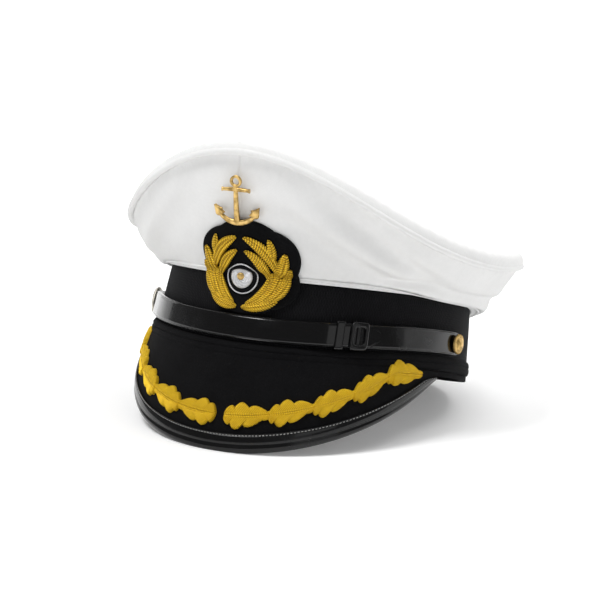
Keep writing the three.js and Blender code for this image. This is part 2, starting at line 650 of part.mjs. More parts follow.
// A plain anchor: ring, stock, shank and arms with pointed flukes.
const ANCHOR_FOOT = 72.8;
const ANCHOR_HIGH = 22;
const ANCHOR_THICK = 2;
function anchor() {
  const arms = new THREE.Shape();
  arms.moveTo(-10.5, 8.2);
  arms.lineTo(-10.2, 3.6);
  arms.absarc(0, 10.4, 10.4, degToRad(212), degToRad(328), false);
  arms.lineTo(10.2, 3.6);
  arms.lineTo(10.5, 8.2);
  arms.lineTo(6.4, 5.6);
  arms.absarc(0, 12.4, 9.6, degToRad(318), degToRad(222), true);
  arms.lineTo(-6.4, 5.6);
  const depth = { depth: ANCHOR_THICK, steps: 1, bevelEnabled: false, curveSegments: 6 };
  const shank = new THREE.BoxGeometry(2.2, ANCHOR_HIGH - 4, ANCHOR_THICK, 1, 4, 1);
  shank.translate(0, (ANCHOR_HIGH - 4) / 2 + 0.8, ANCHOR_THICK / 2);
  const stock = new THREE.BoxGeometry(13, 2, ANCHOR_THICK, 4, 1, 1);
  stock.translate(0, ANCHOR_HIGH - 6, ANCHOR_THICK / 2);
  const ringOfRope = new THREE.TorusGeometry(2.1, 0.75, 5, 8);
  ringOfRope.translate(0, ANCHOR_HIGH - 2.4, ANCHOR_THICK / 2);
  const pieces = [new THREE.ExtrudeGeometry(arms, depth), shank, stock, ringOfRope];
  return joined(pieces.map((piece) => mapVertices(piece,
    (x, y, z) => facePoint(x, ANCHOR_FOOT + y, ON_PATCH + z))));
}

// ---- the cap at rest ----------------------------------------------------------------------

function lowest(geometry, tilt) {
  const position = geometry.getAttribute('position');
  let best = null;
  for (let i = 0; i < position.count; i++) {
    const point = new THREE.Vector3().fromBufferAttribute(position, i);
    const height = point.z * Math.cos(tilt) - point.y * Math.sin(tilt);
    if (!best || height < best.height) best = { point, height };
  }
  return best;
}

// Leans the cap back until the peak's edge and the back of the band are level.
const FIRST_TILT = 0.2;
function restTilt(front, back) {
  let tilt = FIRST_TILT;
  for (let round = 0; round < 6; round++) {
    const [low, high] = [lowest(front, tilt).point, lowest(back, tilt).point];
    tilt = Math.atan2(high.z - low.z, high.y - low.y);
  }
  return { tilt, floor: lowest(front, tilt).height + FLOOR_CUT };
}

const binding = toSolid(peakBinding()).subtract(keepOut);
const rest = restTilt(toGeometry(binding), baseStrip());
const underFloor = new THREE.BoxGeometry(600, 600, 60);
underFloor.translate(0, 0, rest.floor - 30).rotateX(rest.tilt);
const floorTool = toSolid(closed(underFloor.deleteAttribute('normal').deleteAttribute('uv')));

add('crown_side', crownSide(), whiteCotton);
add('crown_hem', crownHem(), whiteCotton);
add('crown_top', crownTop(), whiteCotton);
add('crown_piping', crownPiping(), whiteCotton);
add('head_band', headBand(), blackMohair);
add('lower_welt', lowerWelt(), blackWool);
add('base_strip', cut(baseStrip(), floorTool), blackWool);
add('peak', cut(peakShell(), keepOut), blackWool);
add('peak_binding', toGeometry(binding.subtract(floorTool)), patentLeather);
add('peak_spray_right', leafSpray(-1), goldThread);
add('peak_spray_left', leafSpray(1), goldThread);
add('strap_long', strapLong(), patentLeather);
add('strap_short', strapShort(), patentLeather);
add('strap_keeper', strapKeeper(), patentLeather);
add('strap_buckle', strapBuckle(), patentLeather);
addButton('button_right', STRAP_END_RIGHT, BUTTON_RADIUS.right, SHANK_LIFT);
addButton('button_left', STRAP_END_LEFT, BUTTON_RADIUS.left, 0);
add('badge_patch', badgePatch(PATCH_THICK), blackWool);
add('wreath_right', wreathHalf(WREATH_REACH.right, -1), goldThread);
add('wreath_left', wreathHalf(WREATH_REACH.left, 1), goldThread);
add('cockade_ring', cockadeRing(), silverWire);
add('cockade_ground', cockadeGround(), blueEnamel);
add('cockade_disc', cockadeDisc(), silverWire);
add('anchor', offPatch(anchor()), gilt);

// The origin is the middle of the footprint, on the surface that the cap rests on.
cap.rotation.x = -rest.tilt;
cap.position.z = -rest.floor;
const whole = new THREE.Group();
whole.add(cap);
const box = new THREE.Box3().setFromObject(whole, true);
cap.position.x = -(box.min.x + box.max.x) / 2;
cap.position.y = -(box.min.y + box.max.y) / 2;

export default whole;
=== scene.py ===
# %% [markdown]
# # A naval peaked cap, piece by piece
#
# This lesson dresses a imported CAD model of a peaked cap. The CAD says where every piece is and
# how large it is. Blender gives each piece its cloth, leather, thread or metal. We start by
# loading the model, and we keep its box, which is written out again at the end.

# %% Load the imported model
import math

import bmesh
import bpy
import numpy as np
from mathutils import Matrix, Vector


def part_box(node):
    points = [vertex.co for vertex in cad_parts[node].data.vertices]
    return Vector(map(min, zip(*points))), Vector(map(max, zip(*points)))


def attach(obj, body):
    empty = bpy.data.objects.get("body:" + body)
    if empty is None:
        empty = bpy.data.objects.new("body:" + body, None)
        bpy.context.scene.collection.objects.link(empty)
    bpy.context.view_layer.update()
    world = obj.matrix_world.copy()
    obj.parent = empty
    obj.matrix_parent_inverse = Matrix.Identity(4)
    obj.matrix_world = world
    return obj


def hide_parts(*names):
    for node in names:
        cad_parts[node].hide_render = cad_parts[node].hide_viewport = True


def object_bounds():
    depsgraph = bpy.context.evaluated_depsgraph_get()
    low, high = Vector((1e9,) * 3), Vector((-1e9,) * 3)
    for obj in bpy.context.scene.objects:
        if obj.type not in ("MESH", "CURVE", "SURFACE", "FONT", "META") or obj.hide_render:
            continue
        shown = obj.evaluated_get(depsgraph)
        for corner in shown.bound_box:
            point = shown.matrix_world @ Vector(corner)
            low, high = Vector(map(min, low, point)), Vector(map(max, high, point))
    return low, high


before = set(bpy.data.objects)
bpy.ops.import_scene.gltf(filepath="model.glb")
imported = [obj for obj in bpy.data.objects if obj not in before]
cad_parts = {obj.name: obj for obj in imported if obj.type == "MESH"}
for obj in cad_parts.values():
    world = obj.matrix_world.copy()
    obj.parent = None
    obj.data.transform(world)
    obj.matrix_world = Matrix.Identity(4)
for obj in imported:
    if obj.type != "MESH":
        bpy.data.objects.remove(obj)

cad_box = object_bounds()
print("pieces in the model:", len(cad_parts))
print("size in mm:", [round(1000 * side, 1) for side in cad_box[1] - cad_box[0]])

# %% [markdown]
# ## The cap's own frame
#
# A cap maker thinks of the band as upright, with heights measured up from its foot and places
# told by the turn round the head: zero at the front, growing towards the wearer's left. We do
# the same, in millimetres. The sizes below are the ones that the CAD pieces were made with.

# %% Sizes of the band, the welt and the crown
GAP = 0.3
HEAD_HALF_LONG, HEAD_HALF_WIDE = 101, 88.4
BAND_TOP, BAND_TAPER, BAND_WALL = 45.2, 3.5, 2.2
SIDE_RISE, TOP_SIDE_RISE = 11.6, 8.3
STRIP_TOP, STRIP_PROUD = 2.7, 0.3
WELT_BOTTOM, WELT_TOP, WELT_PROUD, WELT_SLIM = 3.0, 11.2, 2.6, 0.6
STRAP_BOTTOM, STRAP_TOP, STRAP_THICK, STRAP_STAND = 12.4, 25.4, 1.4, 1.5
HEM_HEIGHT, HEM_PROUD, HEM_STITCHES, HEM_LINE = 3.2, 1.3, 190, 1.7
CROWN_FOOT, CLOTH = BAND_TOP + GAP, 1.8
RIM_HALF_WIDE, RIM_HALF_LONG, RIM_BACK_SHIFT = 110.3, 128.9, -2.5
RIM_WAVES = [85.6, 0, 10.8, 6.7, 0.9]
PIPING_RADIUS = 1.6
TOP_LIP, TOP_LIP_REACH, TOP_DOME, TOP_DOME_BACK = 6.3, 0.075, 8.3, 9.3
# Rounded mean radii, which turn an angle into millimetres of cloth in the UV maps.
BAND_RADIUS, HEM_RADIUS, RIM_RADIUS, PEAK_RADIUS = 92, 88, 120, 130


def share_of(value, low, high):
    return np.clip((value - low) / (high - low), 0, 1)


def smooth_share(value, low, high):
    share = share_of(value, low, high)
    return share * share * (3 - 2 * share)


def blend(a, b, share):
    return a + (b - a) * share


def bump_at(value, middle, wide):
    return np.exp(-(((value - middle) / wide) ** 2))


# %% [markdown]
# The band leans in a little as it rises. Its foot dips at the front, where the peak leaves it,
# and lies level round the sides and the back. One function places every piece that is wrapped
# round it: the turn, how proud the piece stands, and the height.

# %% A place on the band
def band_point(turn, proud, height):
    out = proud - BAND_TAPER * np.clip(height / BAND_TOP, 0, 1.1)
    side = np.sin(turn) ** 2
    foot = np.where(np.cos(turn) > 0, side, 1.0)
    rise = blend(SIDE_RISE * foot, TOP_SIDE_RISE * side, share_of(height, STRAP_TOP, BAND_TOP))
    return np.stack(np.broadcast_arrays(
        (HEAD_HALF_WIDE + out) * np.sin(turn),
        -(HEAD_HALF_LONG + out) * np.cos(turn),
        height + rise), -1)


def rim_height(turn, share=1.0):
    return sum(size * share**wave * np.cos(wave * turn) for wave, size in enumerate(RIM_WAVES))


def rim_point(turn, out=0.0, up=0.0):
    return np.stack(np.broadcast_arrays(
        (RIM_HALF_WIDE + out) * np.sin(turn),
        RIM_BACK_SHIFT - (RIM_HALF_LONG + out) * np.cos(turn),
        rim_height(turn) + up), -1)


# %% [markdown]
# ## How the cap lies
#
# A cap put down on a table leans back until the edge of its peak and the back of its band
# touch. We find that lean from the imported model: the higher it leans, the lower the front of
# the rim's piping stands over its back. Halving the range a few times is enough.

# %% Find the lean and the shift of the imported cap
def leaned(points, lean):
    x, y, z = np.moveaxis(np.asarray(points, float), -1, 0)
    return np.stack([x, y * math.cos(lean) + z * math.sin(lean),
                     z * math.cos(lean) - y * math.sin(lean)], -1)


around = np.linspace(0, 2 * math.pi, 361)
loop = np.linspace(0, 2 * math.pi, 25)
piping_skin = rim_point(around[None], PIPING_RADIUS * np.cos(loop)[:, None],
                        PIPING_RADIUS * np.sin(loop)[:, None]).reshape(-1, 3)
low, high = (np.array(corner) * 1000 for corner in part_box("crown_piping"))
lean_range = [0.0, 0.5]
for _ in range(40):
    lean = sum(lean_range) / 2
    tall = np.ptp(leaned(piping_skin, lean)[:, 2])
    lean_range[int(tall > high[2] - low[2])] = lean
placed = leaned(piping_skin, lean)
shift = (low + high) / 2 - (placed.min(0) + placed.max(0)) / 2
shift[0] = 0
print("lean in degrees:", round(math.degrees(lean), 2), "shift in mm:", shift.round(2))


def in_frame(points):
    """Cap millimetres to metres in the row's frame."""
    return (leaned(points, lean) + shift) / 1000


# %% [markdown]
# ## Sewing pieces from grids
#
# Cloth, leather and thread pieces are all laid out here as grids of points: rows across the
# piece and columns along it. One helper turns a list of grids into one mesh, welds the edges
# that meet, and keeps a UV map in millimetres, so that a weave or a thread follows the cloth
# whatever its shape. A second helper carries a closed section along a run, for welts, straps,
# cords and bindings.

# %% Helpers that make the meshes
def sew(node, grids, finishes, sharp=45):
    """One piece, from grids of (points, uv, number of its finish), standing for a CAD node."""
    corners, loops, maps, chosen, start = [], [], [], [], 0
    for points, uv, finish in grids:
        rows, columns = points.shape[:2]
        index = start + np.arange(rows * columns).reshape(rows, columns)
        quad = [index[:-1, :-1], index[:-1, 1:], index[1:, 1:], index[1:, :-1]]
        loops.append(np.stack(quad, -1).reshape(-1, 4))
        uv = np.broadcast_to(uv, points.shape[:2] + (2,))
        patch = [uv[:-1, :-1], uv[:-1, 1:], uv[1:, 1:], uv[1:, :-1]]
        maps.append(np.stack(patch, -2).reshape(-1, 2))
        chosen.append(np.full((rows - 1) * (columns - 1), finish))
        corners.append(points.reshape(-1, 3))
        start += rows * columns
    mesh = bpy.data.meshes.new(node + "_look")
    faces = np.concatenate(loops)
    mesh.vertices.add(start)
    mesh.vertices.foreach_set("co", in_frame(np.concatenate(corners)).ravel())
    mesh.loops.add(faces.size)
    mesh.loops.foreach_set("vertex_index", faces.ravel())
    mesh.polygons.add(len(faces))
    mesh.polygons.foreach_set("loop_start", np.arange(0, faces.size, 4))
    mesh.polygons.foreach_set("material_index", np.concatenate(chosen))
    mesh.uv_layers.new(name="mm").data.foreach_set("uv", np.concatenate(maps).ravel())
    mesh.update(calc_edges=True)
    work = bmesh.new()
    work.from_mesh(mesh)
    bmesh.ops.remove_doubles(work, verts=work.verts, dist=3e-6)
    bmesh.ops.dissolve_degenerate(work, edges=work.edges, dist=1e-6)
    bmesh.ops.recalc_face_normals(work, faces=work.faces)
    work.to_mesh(mesh)
    work.free()
    mesh.shade_smooth()
    mesh.set_sharp_from_angle(angle=math.radians(sharp))
    for finish in finishes:
        mesh.materials.append(finish)
    piece = bpy.data.objects.new(node + "_look", mesh)
    bpy.context.scene.collection.objects.link(piece)
    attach(piece, "root")
    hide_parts(node)
    print(f"{piece.name}: {sum(len(face.vertices) - 2 for face in mesh.polygons)} triangles")
    return piece


def sweep(place, along, section, ring=False, reach=1.0, finish=0):
    """Carries a closed section (across, proud) along a run and closes its two ends."""
    section = np.asarray(section, float)
    if section.ndim == 2:
        section = section[:, :, None] * np.ones(len(along))
    section = np.concatenate([section, section[:, :1]], 1)
    run = np.broadcast_to(along, section.shape[1:])
    if not ring:
        middle = np.broadcast_to(section[:, :-1].mean(1, keepdims=True), section.shape)
        section = np.concatenate([middle[:, :, :1], section, middle[:, :, -1:]], 2)
        run = np.concatenate([run[:, :1], run, run[:, -1:]], 1)
    steps = np.hypot(*np.diff(section, axis=1))
    girth = np.concatenate([np.zeros_like(steps[:1]), np.cumsum(steps, 0)])
    return place(run, section[0], section[1]), np.stack([run * reach, girth], -1), finish


def outline(*corners, fine=6):
    """A closed section through corners, with points added between them."""
    corners = np.array(corners, float)
    following = np.roll(corners, -1, axis=0)
    share = np.arange(fine)[:, None, None] / fine
    return (corners + (following - corners) * share).transpose(1, 0, 2).reshape(-1, 2).T


def soft_square(angle, power):
    """A square two wide round the origin; the higher the power, the sharper its corners."""
    across, up = np.cos(angle), np.sin(angle)
    size = (np.abs(across) ** power + np.abs(up) ** power) ** (-1 / power)
    return np.stack([size * across, size * up])


def rounded(low, high, back, face, power=4, count=28):
    """A closed section with soft corners, between two edges and two faces."""
    angle = np.linspace(0, 2 * math.pi, count, endpoint=False) + math.pi / count
    across, proud = soft_square(angle, power)
    return np.stack([(low + high) / 2 + (high - low) / 2 * across,
                     (back + face) / 2 + (face - back) / 2 * proud])


def round_section(angle, thick):
    """The section of a cord: `thick` may change round it and along its run."""
    return np.stack([np.cos(angle) * thick, np.sin(angle) * thick])


# %% [markdown]
# Nothing sewn by hand is perfectly even. A few crossing waves, taken through the cap's own
# space, give an unevenness of a chosen size that closes on itself and comes out the same on
# every run.

# %% A repeatable unevenness
def ripple(points, size, seed, waves=9):
    chance = np.random.default_rng(seed)
    total = np.zeros(points.shape[:-1])
    for _ in range(waves):
        way = chance.normal(size=3)
        way *= 2 * math.pi / np.linalg.norm(way) / size / chance.uniform(0.7, 1.5)
        total += np.sin(points @ way + chance.uniform(0, 2 * math.pi))
    return total / math.sqrt(waves)


# %% [markdown]
# ## Writing finishes as sums
#
# A finish is a small sum: so much weave, so much noise, some tarnish, a little painted shade.
# The class below wraps one socket of a shader, so that a sum written in Python adds the Math
# nodes. Its `node` method adds any other node: its settings first, and then its sockets.

# %% One small class for shader maths
class Wire:
    def __init__(self, socket):
        self.socket = socket
        self.tree = socket.id_data

    def node(self, kind, settings=(), sockets=(), output=0):
        made = self.tree.nodes.new(kind)
        for name, value in dict(settings).items():
            if name == "stops":
                ramp = made.color_ramp.elements
                while len(ramp) < len(value):
                    ramp.new(0.5)
                for stop, (place, colour) in zip(ramp, value):
                    stop.position, stop.color = place, (*colour, 1)
            else:
                setattr(made, name, value)
        for name, value in dict(sockets).items():
            self.plug(made.inputs[name], value)
        return Wire(made.outputs[output])

    def plug(self, entry, value):
        if isinstance(value, Wire):
            self.tree.links.new(value.socket, entry)
        else:
            entry.default_value = value

    def maths(self, operation, first, second=0.0, third=0.0):
        return self.node("ShaderNodeMath", {"operation": operation},
                         {0: first, 1: second, 2: third})

    def __add__(self, other):
        return self.maths("ADD", self, other)

    __radd__ = __add__

    def __sub__(self, other):
        return self.maths("SUBTRACT", self, other)

    def __rsub__(self, other):
        return self.maths("SUBTRACT", other, self)

    def __mul__(self, other):
        return self.maths("MULTIPLY", self, other)

    __rmul__ = __mul__

    def __truediv__(self, other):
        return self.maths("DIVIDE", self, other)

    def wave(self, pitch):
        """A wave from 0 to 1 that repeats each `pitch` of this value."""
        return self.maths("SINE", self * (2 * math.pi / pitch)) * 0.5 + 0.5

    def fold(self, pitch):
        """A zigzag from 0 to 1 and back over each `pitch` of this value."""
        return self.maths("PINGPONG", self, pitch / 2) / (pitch / 2)

    def between(self, low, high):
        """0 below low, 1 above high, and smooth in between."""
        return self.node("ShaderNodeMapRange", {"interpolation_type": "SMOOTHSTEP"},
                         {"Value": self, "From Min": low, "From Max": high})

    def tint(self, dark, light):
        """A colour that goes from dark to light with this value."""
        return self.node("ShaderNodeMix", {"data_type": "RGBA"},
                         {0: self, 6: (*dark, 1), 7: (*light, 1)}, output=2)


class Finish(Wire):
    """A material: its shader's fixed values are given when it is made."""

    def __init__(self, name, **fixed):
        self.material = bpy.data.materials.new(name)
        self.material.use_nodes = True
        self.tree = self.material.node_tree
        self.shader = self.tree.nodes["Principled BSDF"]
        for word, value in fixed.items():
            socket = word.replace("_", " ").title().replace("Ior", "IOR")
            self.shader.inputs[socket].default_value = value
        flat = self.node("ShaderNodeUVMap", {"uv_map": "mm"})
        self.along, self.across = (
            self.node("ShaderNodeSeparateXYZ", (), {0: flat}, output=i) for i in range(2))
        self.place = self.node("ShaderNodeTexCoord", output=3)

    def grain(self, size, detail=2.0, **more):
        """Noise whose grains are `size` millimetres."""
        return self.node("ShaderNodeTexNoise", (),
                         {"Vector": self.place, "Scale": 1000 / size, "Detail": detail, **more})

    def put_on(self, colour=None, roughness=None, height=None, depth=0.1, metallic=None):
        """Joins the finish's colour, roughness and height (depth in mm) to its shader."""
        for socket, value in (("Base Color", colour), ("Roughness", roughness), ("Metallic", metallic)):
            if value is not None:
                self.plug(self.shader.inputs[socket], value)
        if height is not None:
            self.plug(self.shader.inputs["Normal"], self.node(
                "ShaderNodeBump", (), {"Height": height, "Distance": depth / 1000, "Strength": 1.0}))
        return self.material


# %% [markdown]
# ## Cloth finishes
#
# The crown's cover is white cotton, a plain weave too fine to count from a pace away. Warp and
# weft are two waves at right angles, and broad noise keeps the white from looking like paper.

# %% White cotton
def white_cotton():
    cloth = Finish("white_cotton", roughness=0.92, sheen_weight=0.05, sheen_roughness=0.5,
                   specular_ior_level=0.1)
    weave = cloth.along.wave(0.62) * cloth.across.wave(0.62)
    broad = cloth.grain(26, detail=3.0)
    slub = cloth.grain(2.2)
    # Broad noise and slub are random tone; the weave's part lightens the thread crossings and darkens
    # the hollows between them, a little painted shade.
    colour = (broad * 0.5 + slub * 0.3 + weave * 0.2).tint((0.70, 0.70, 0.695), (0.84, 0.84, 0.835))
    return cloth.put_on(colour, 0.86 + slub * 0.1, weave * 0.6 + slub * 0.4, depth=0.09)


COTTON = white_cotton()

# %% [markdown]
# The band is black mohair: fine ribs that run up it and swing from side to side, so that they
# make small lozenges. A zigzag of the height bends the ribs, and a little sheen keeps them
# from going dead black.

# %% Black mohair
def black_mohair():
    cloth = Finish("black_mohair", sheen_weight=0.02, sheen_roughness=0.4, specular_ior_level=0.06)
    swing = cloth.across.fold(4.4) * 1.1
    left = (cloth.along + swing).wave(1.5)
    right = (cloth.along - swing).wave(1.5)
    rib = left * 0.5 + right * 0.5
    fuzz = cloth.grain(0.7, detail=4.0)
    # The ribs also set the colour, darker in the hollows between them: painted shade. The fuzz is random
    # tone.
    colour = (rib * 0.55 + fuzz * 0.45).tint((0.0008, 0.0008, 0.001), (0.011, 0.011, 0.0125))
    return cloth.put_on(colour, 0.7 + fuzz * 0.2, rib * 0.75 + fuzz * 0.25, depth=0.25)


MOHAIR = black_mohair()

# %% [markdown]
# The welt, the foot and the peak are fine wool cloth with a short nap: no weave to see, only
# a felted grain, with a soft bloom where light grazes it. The badge's backing is felt, which
# is the same with a coarser grain.

# %% Black wool and felt
def napped(name, grain, light):
    cloth = Finish(name, sheen_weight=0.02, sheen_roughness=0.55, specular_ior_level=0.04)
    nap = cloth.grain(grain, detail=5.0)
    patch = cloth.grain(14, detail=3.0)
    colour = (nap * 0.7 + patch * 0.3).tint((0.001, 0.001, 0.0012), (light, light, light * 1.1))
    return cloth.put_on(colour, 0.86 + nap * 0.1, nap, depth=0.22)


WOOL = napped("black_wool", 0.9, 0.0085)
FELT = napped("black_felt", 1.3, 0.008)

# %% [markdown]
# ## Patent leather
#
# Patent leather is leather under a hard varnish. The varnish mirrors the room, so it is a
# clear coat over near black. What makes it look like leather is that the mirror isn't flat:
# broad waves, fine orange peel, and hair scratches that dull it here and there.

# %% Patent leather
def patent_leather():
    hide = Finish("patent_leather", coat_weight=0.42, coat_roughness=0.05, specular_ior_level=0.15)
    waves = hide.grain(9, detail=1.0)
    peel = hide.grain(1.1, detail=2.0)
    rubbed = hide.grain(22, detail=6.0).between(0.5, 0.75)
    colour = rubbed.tint((0.0012, 0.0012, 0.0014), (0.005, 0.005, 0.0055))
    return hide.put_on(colour, 0.13 + rubbed * 0.2 + peel * 0.06, waves * 0.75 + peel * 0.25, depth=0.12)


PATENT = patent_leather()

# %% [markdown]
# ## Thread and metal
#
# Satin stitch lays yellow-gold threads side by side; the UV map carries their direction, so
# the ridges are one wave. Bullion is a gilt coil sewn down like a bead: brighter, more
# metallic, with the turns of its coil running across it. Both waves also darken the colour in
# the grooves between threads and between turns: painted shade.

# %% Gold satin stitch and bullion
THREAD_PITCH, BULLION_PITCH = 0.88, 1.15


def gold_satin():
    thread = Finish("gold_satin", specular_ior_level=0.2, anisotropic=0.4)
    ridge = thread.along.wave(THREAD_PITCH)
    strand = thread.grain(3.0, detail=3.0)
    # The ridge wave also sets the colour, dark brown in the grooves between threads: painted shade. The
    # strand noise is random tone.
    colour = (ridge * 0.65 + strand * 0.35).tint((0.34, 0.16, 0.003), (0.98, 0.68, 0.03))
    return thread.put_on(colour, 0.36 + strand * 0.2, ridge * 0.8 + strand * 0.2, depth=0.2, metallic=0.3)


def gold_bullion():
    coil = Finish("gold_bullion", specular_ior_level=0.3)
    turn = (coil.along + coil.across * 0.5).wave(BULLION_PITCH)
    strand = coil.grain(1.6, detail=3.0)
    # The coil's turns also set the colour, dark in the grooves between turns: painted shade. The strand
    # noise is random tone.
    colour = (turn * 0.7 + strand * 0.3).tint((0.13, 0.06, 0.002), (0.95, 0.62, 0.04))
    return coil.put_on(colour, 0.3 + strand * 0.22, turn, depth=0.2, metallic=0.55)


SATIN, BULLION = gold_satin(), gold_bullion()

# %% [markdown]
# The buttons and the emblem are gilt brass: warm metal, brighter on worn high spots, with
# tarnish in patches. The cockade is silver wire laid in circles on dark blue cloth.

# %% Gilt brass, silver wire, blue cloth and sewing thread
def gilt_brass(name, bright, dull):
    metal = Finish(name, metallic=1.0)
    tarnish = metal.grain(2.6, detail=5.0)
    pits = metal.grain(0.6, detail=2.0)
    colour = tarnish.between(0.35, 0.7).tint(bright, dull)
    return metal.put_on(colour, 0.26 + tarnish * 0.25, pits, depth=0.05)


def silver_wire():
    metal = Finish("silver_wire", metallic=0.75)
    turn = (metal.along * 1.0 + metal.across * 0.4).wave(0.7)
    dull = metal.grain(1.8, detail=3.0)
    # The wire's turns also set the colour, darker between turns: painted shade. The dull noise is random
    # tone.
    colour = (turn * 0.6 + dull * 0.4).tint((0.38, 0.38, 0.4), (0.92, 0.92, 0.93))
    return metal.put_on(colour, 0.3 + dull * 0.2, turn, depth=0.12)


def sewing_thread(name, dark, light):
    thread = Finish(name, specular_ior_level=0.5)
    twist = (thread.along + thread.across).wave(0.35)
    # The twist's grooves are darker in colour: painted shade.
    return thread.put_on(twist.tint(dark, light), 0.5 + twist * 0.1, twist, depth=0.04)


GILT = gilt_brass("gilt_brass", (0.70, 0.48, 0.18), (0.30, 0.19, 0.06))
# A paler gilt for the larger button.
PALE_GILT = gilt_brass("pale_gilt", (0.74, 0.70, 0.62), (0.34, 0.31, 0.26))
SILVER = silver_wire()
BLUE = napped("blue_cloth", 0.8, 0.012)
WHITE_THREAD = sewing_thread("white_thread", (0.55, 0.55, 0.54), (0.85, 0.85, 0.84))
# The binding's stitches are black thread on varnish; this pale grey paints the glints of light on them.
GLINT_PAINTED_THREAD = sewing_thread("glint_painted_thread", (0.12, 0.12, 0.12), (0.5, 0.5, 0.48))

# %% [markdown]
# ## The crown's side
#
# The side of the crown is cut in curved panels and pulled up to a hoop of wire in the rim. It
# bulges, rolls over its foot at the back, and breaks into slanting folds where the cloth is
# slack. Each fold is a row of a table: from one place to another, how wide and how high.

# %% Folds of the crown
FOLDS = [
    # turn and share of the way up where it starts, the same where it ends, width, height
    (14, 0.72, 52, 0.42, 9, 2.9),
    (12, 0.52, 50, 0.22, 7, -3.3),
    (22, 0.86, 66, 0.45, 8, -3.1),
    (46, 0.2, 62, 0.3, 4, -3.9),
    (-16, 0.7, -46, 0.3, 9, -1.8),
    (-40, 0.62, -74, 0.2, 8, 1.8),
    (100, 0.75, 140, 0.3, 10, -2.2),
    (168, 0.3, 205, 0.75, 11, -2.2),
    (-96, 0.25, -140, 0.7, 10, -2.2),
]
FOLD_GIRTH, FOLD_RISE = 105, 55


def fold_height(turn, share, folds=FOLDS):
    total = 0.0
    for t0, s0, t1, s1, wide, high in folds:
        middle = math.radians((t0 + t1) / 2)
        span = math.radians(t1 - t0) * FOLD_GIRTH, (s1 - s0) * FOLD_RISE
        long = math.hypot(*span)
        x = np.arctan2(np.sin(turn - middle), np.cos(turn - middle)) * FOLD_GIRTH
        y = (share - (s0 + s1) / 2) * FOLD_RISE
        along = (x * span[0] + y * span[1]) / long
        across = (x * span[1] - y * span[0]) / long
        total = total + high * np.exp(-((across / wide) ** 2) - (2 * along / long) ** 4)
    return total * np.sin(math.pi * np.clip(share, 0, 1)) ** 0.5


# %% A place on the crown's side
def crown_point(turn, share, proud):
    foot = band_point(turn, 0, CROWN_FOOT)
    rim = rim_point(turn, -PIPING_RADIUS - 2 * GAP, -0.4)
    reach = np.hypot(rim[..., 0], rim[..., 1]) - np.hypot(foot[..., 0], foot[..., 1])
    climb = rim[..., 2] - foot[..., 2]
    chord = np.hypot(reach, climb)
    side = np.sin(turn) ** 2
    wrapped = np.arctan2(np.sin(turn), np.cos(turn))
    back = smooth_share(np.abs(wrapped), math.radians(35), math.radians(75))
    bulge = blend(3, 5.5, side) * np.sin(math.pi * share)
    roll = np.where(wrapped > 0, 3.6, 2.6) * back * bump_at(share, 0.14, 0.13)
    crease = -1.6 * back * bump_at(share, 0.36, 0.09)
    shape = (bulge + roll + crease + fold_height(turn, share)) * np.clip(share / 0.05, 0, 1)
    lift = proud + shape
    steep = smooth_share(share, 0, 0.12)
    outward = blend(1, climb / chord, steep) * lift
    upward = -reach / chord * steep * lift
    way = rim[..., :2] + foot[..., :2]
    way = way / np.linalg.norm(way, axis=-1, keepdims=True)
    share = np.asarray(share)[..., None]
    point = foot + (rim - foot) * share
    point[..., :2] += way * outward[..., None]
    point[..., 2] += upward
    return point


# %% [markdown]
# Two more things make it cloth. It puckers where it is sewn to the hem and to the piping, in
# short waves that die out within a finger's width. And its panels meet in a seam at the front
# and at the back, a fine trench with the cloth swelling on both sides of it.

# %% Cut and sew the crown's side
def crown_unevenness(turn, share):
    plain = crown_point(turn, share, 0.0)
    broad = 0.34 * ripple(plain, 34, 1) + 0.10 * ripple(plain, 11, 2)
    gathers = turn * FOLD_GIRTH + 2.2 * ripple(plain, 30, 3)
    foot = 0.22 * np.sin(2 * math.pi * gathers / 8.5) * bump_at(share, 0.08, 0.07)
    rim = 0.16 * np.sin(2 * math.pi * gathers / 7.0 + 1) * bump_at(share, 0.97, 0.07)
    across = np.minimum(np.abs(np.sin(turn)) * RIM_HALF_WIDE, 20.0)
    seam = -0.55 * bump_at(across, 0, 0.55) + 0.22 * bump_at(across, 2.1, 1.3)
    edges = np.clip(np.minimum(share, 1 - share) / 0.05, 0, 1)
    return (broad * edges + foot + rim + seam * smooth_share(share, 0.02, 0.1))


def crown_side():
    turn = np.linspace(-math.pi, math.pi, 781)[None]
    share = np.linspace(0, 1, 66)[:, None]
    face = crown_point(turn, share, crown_unevenness(turn, share))
    inside = crown_point(turn[:, ::6], np.linspace(1, 0, 12)[:, None], -CLOTH)
    rim = np.stack([face[-1, ::6], inside[0]])
    foot = np.stack([inside[-1], face[0, ::6]])
    uv = np.stack(np.broadcast_arrays(turn * FOLD_GIRTH, share * FOLD_RISE), -1)
    plain = uv[:2, ::6]
    inner = np.broadcast_to(uv[:1, ::6], inside.shape[:2] + (2,))
    return sew("crown_side", [(face, uv, 0), (inside, inner, 0), (rim, plain, 0), (foot, plain, 0)],
               [COTTON])


crown_side()

# %% [markdown]
# ## Piping and hem
#
# A cord is folded into a strip of the same cotton and sewn between side and top: the piping.
# The strip's raw edges run inwards, which fills the seam between the two panels.
# At the foot the cover is turned under and stitched down, which leaves a flat hem with one
# row of stitches. The stitches are real: little capsules, each pulled down at its ends.

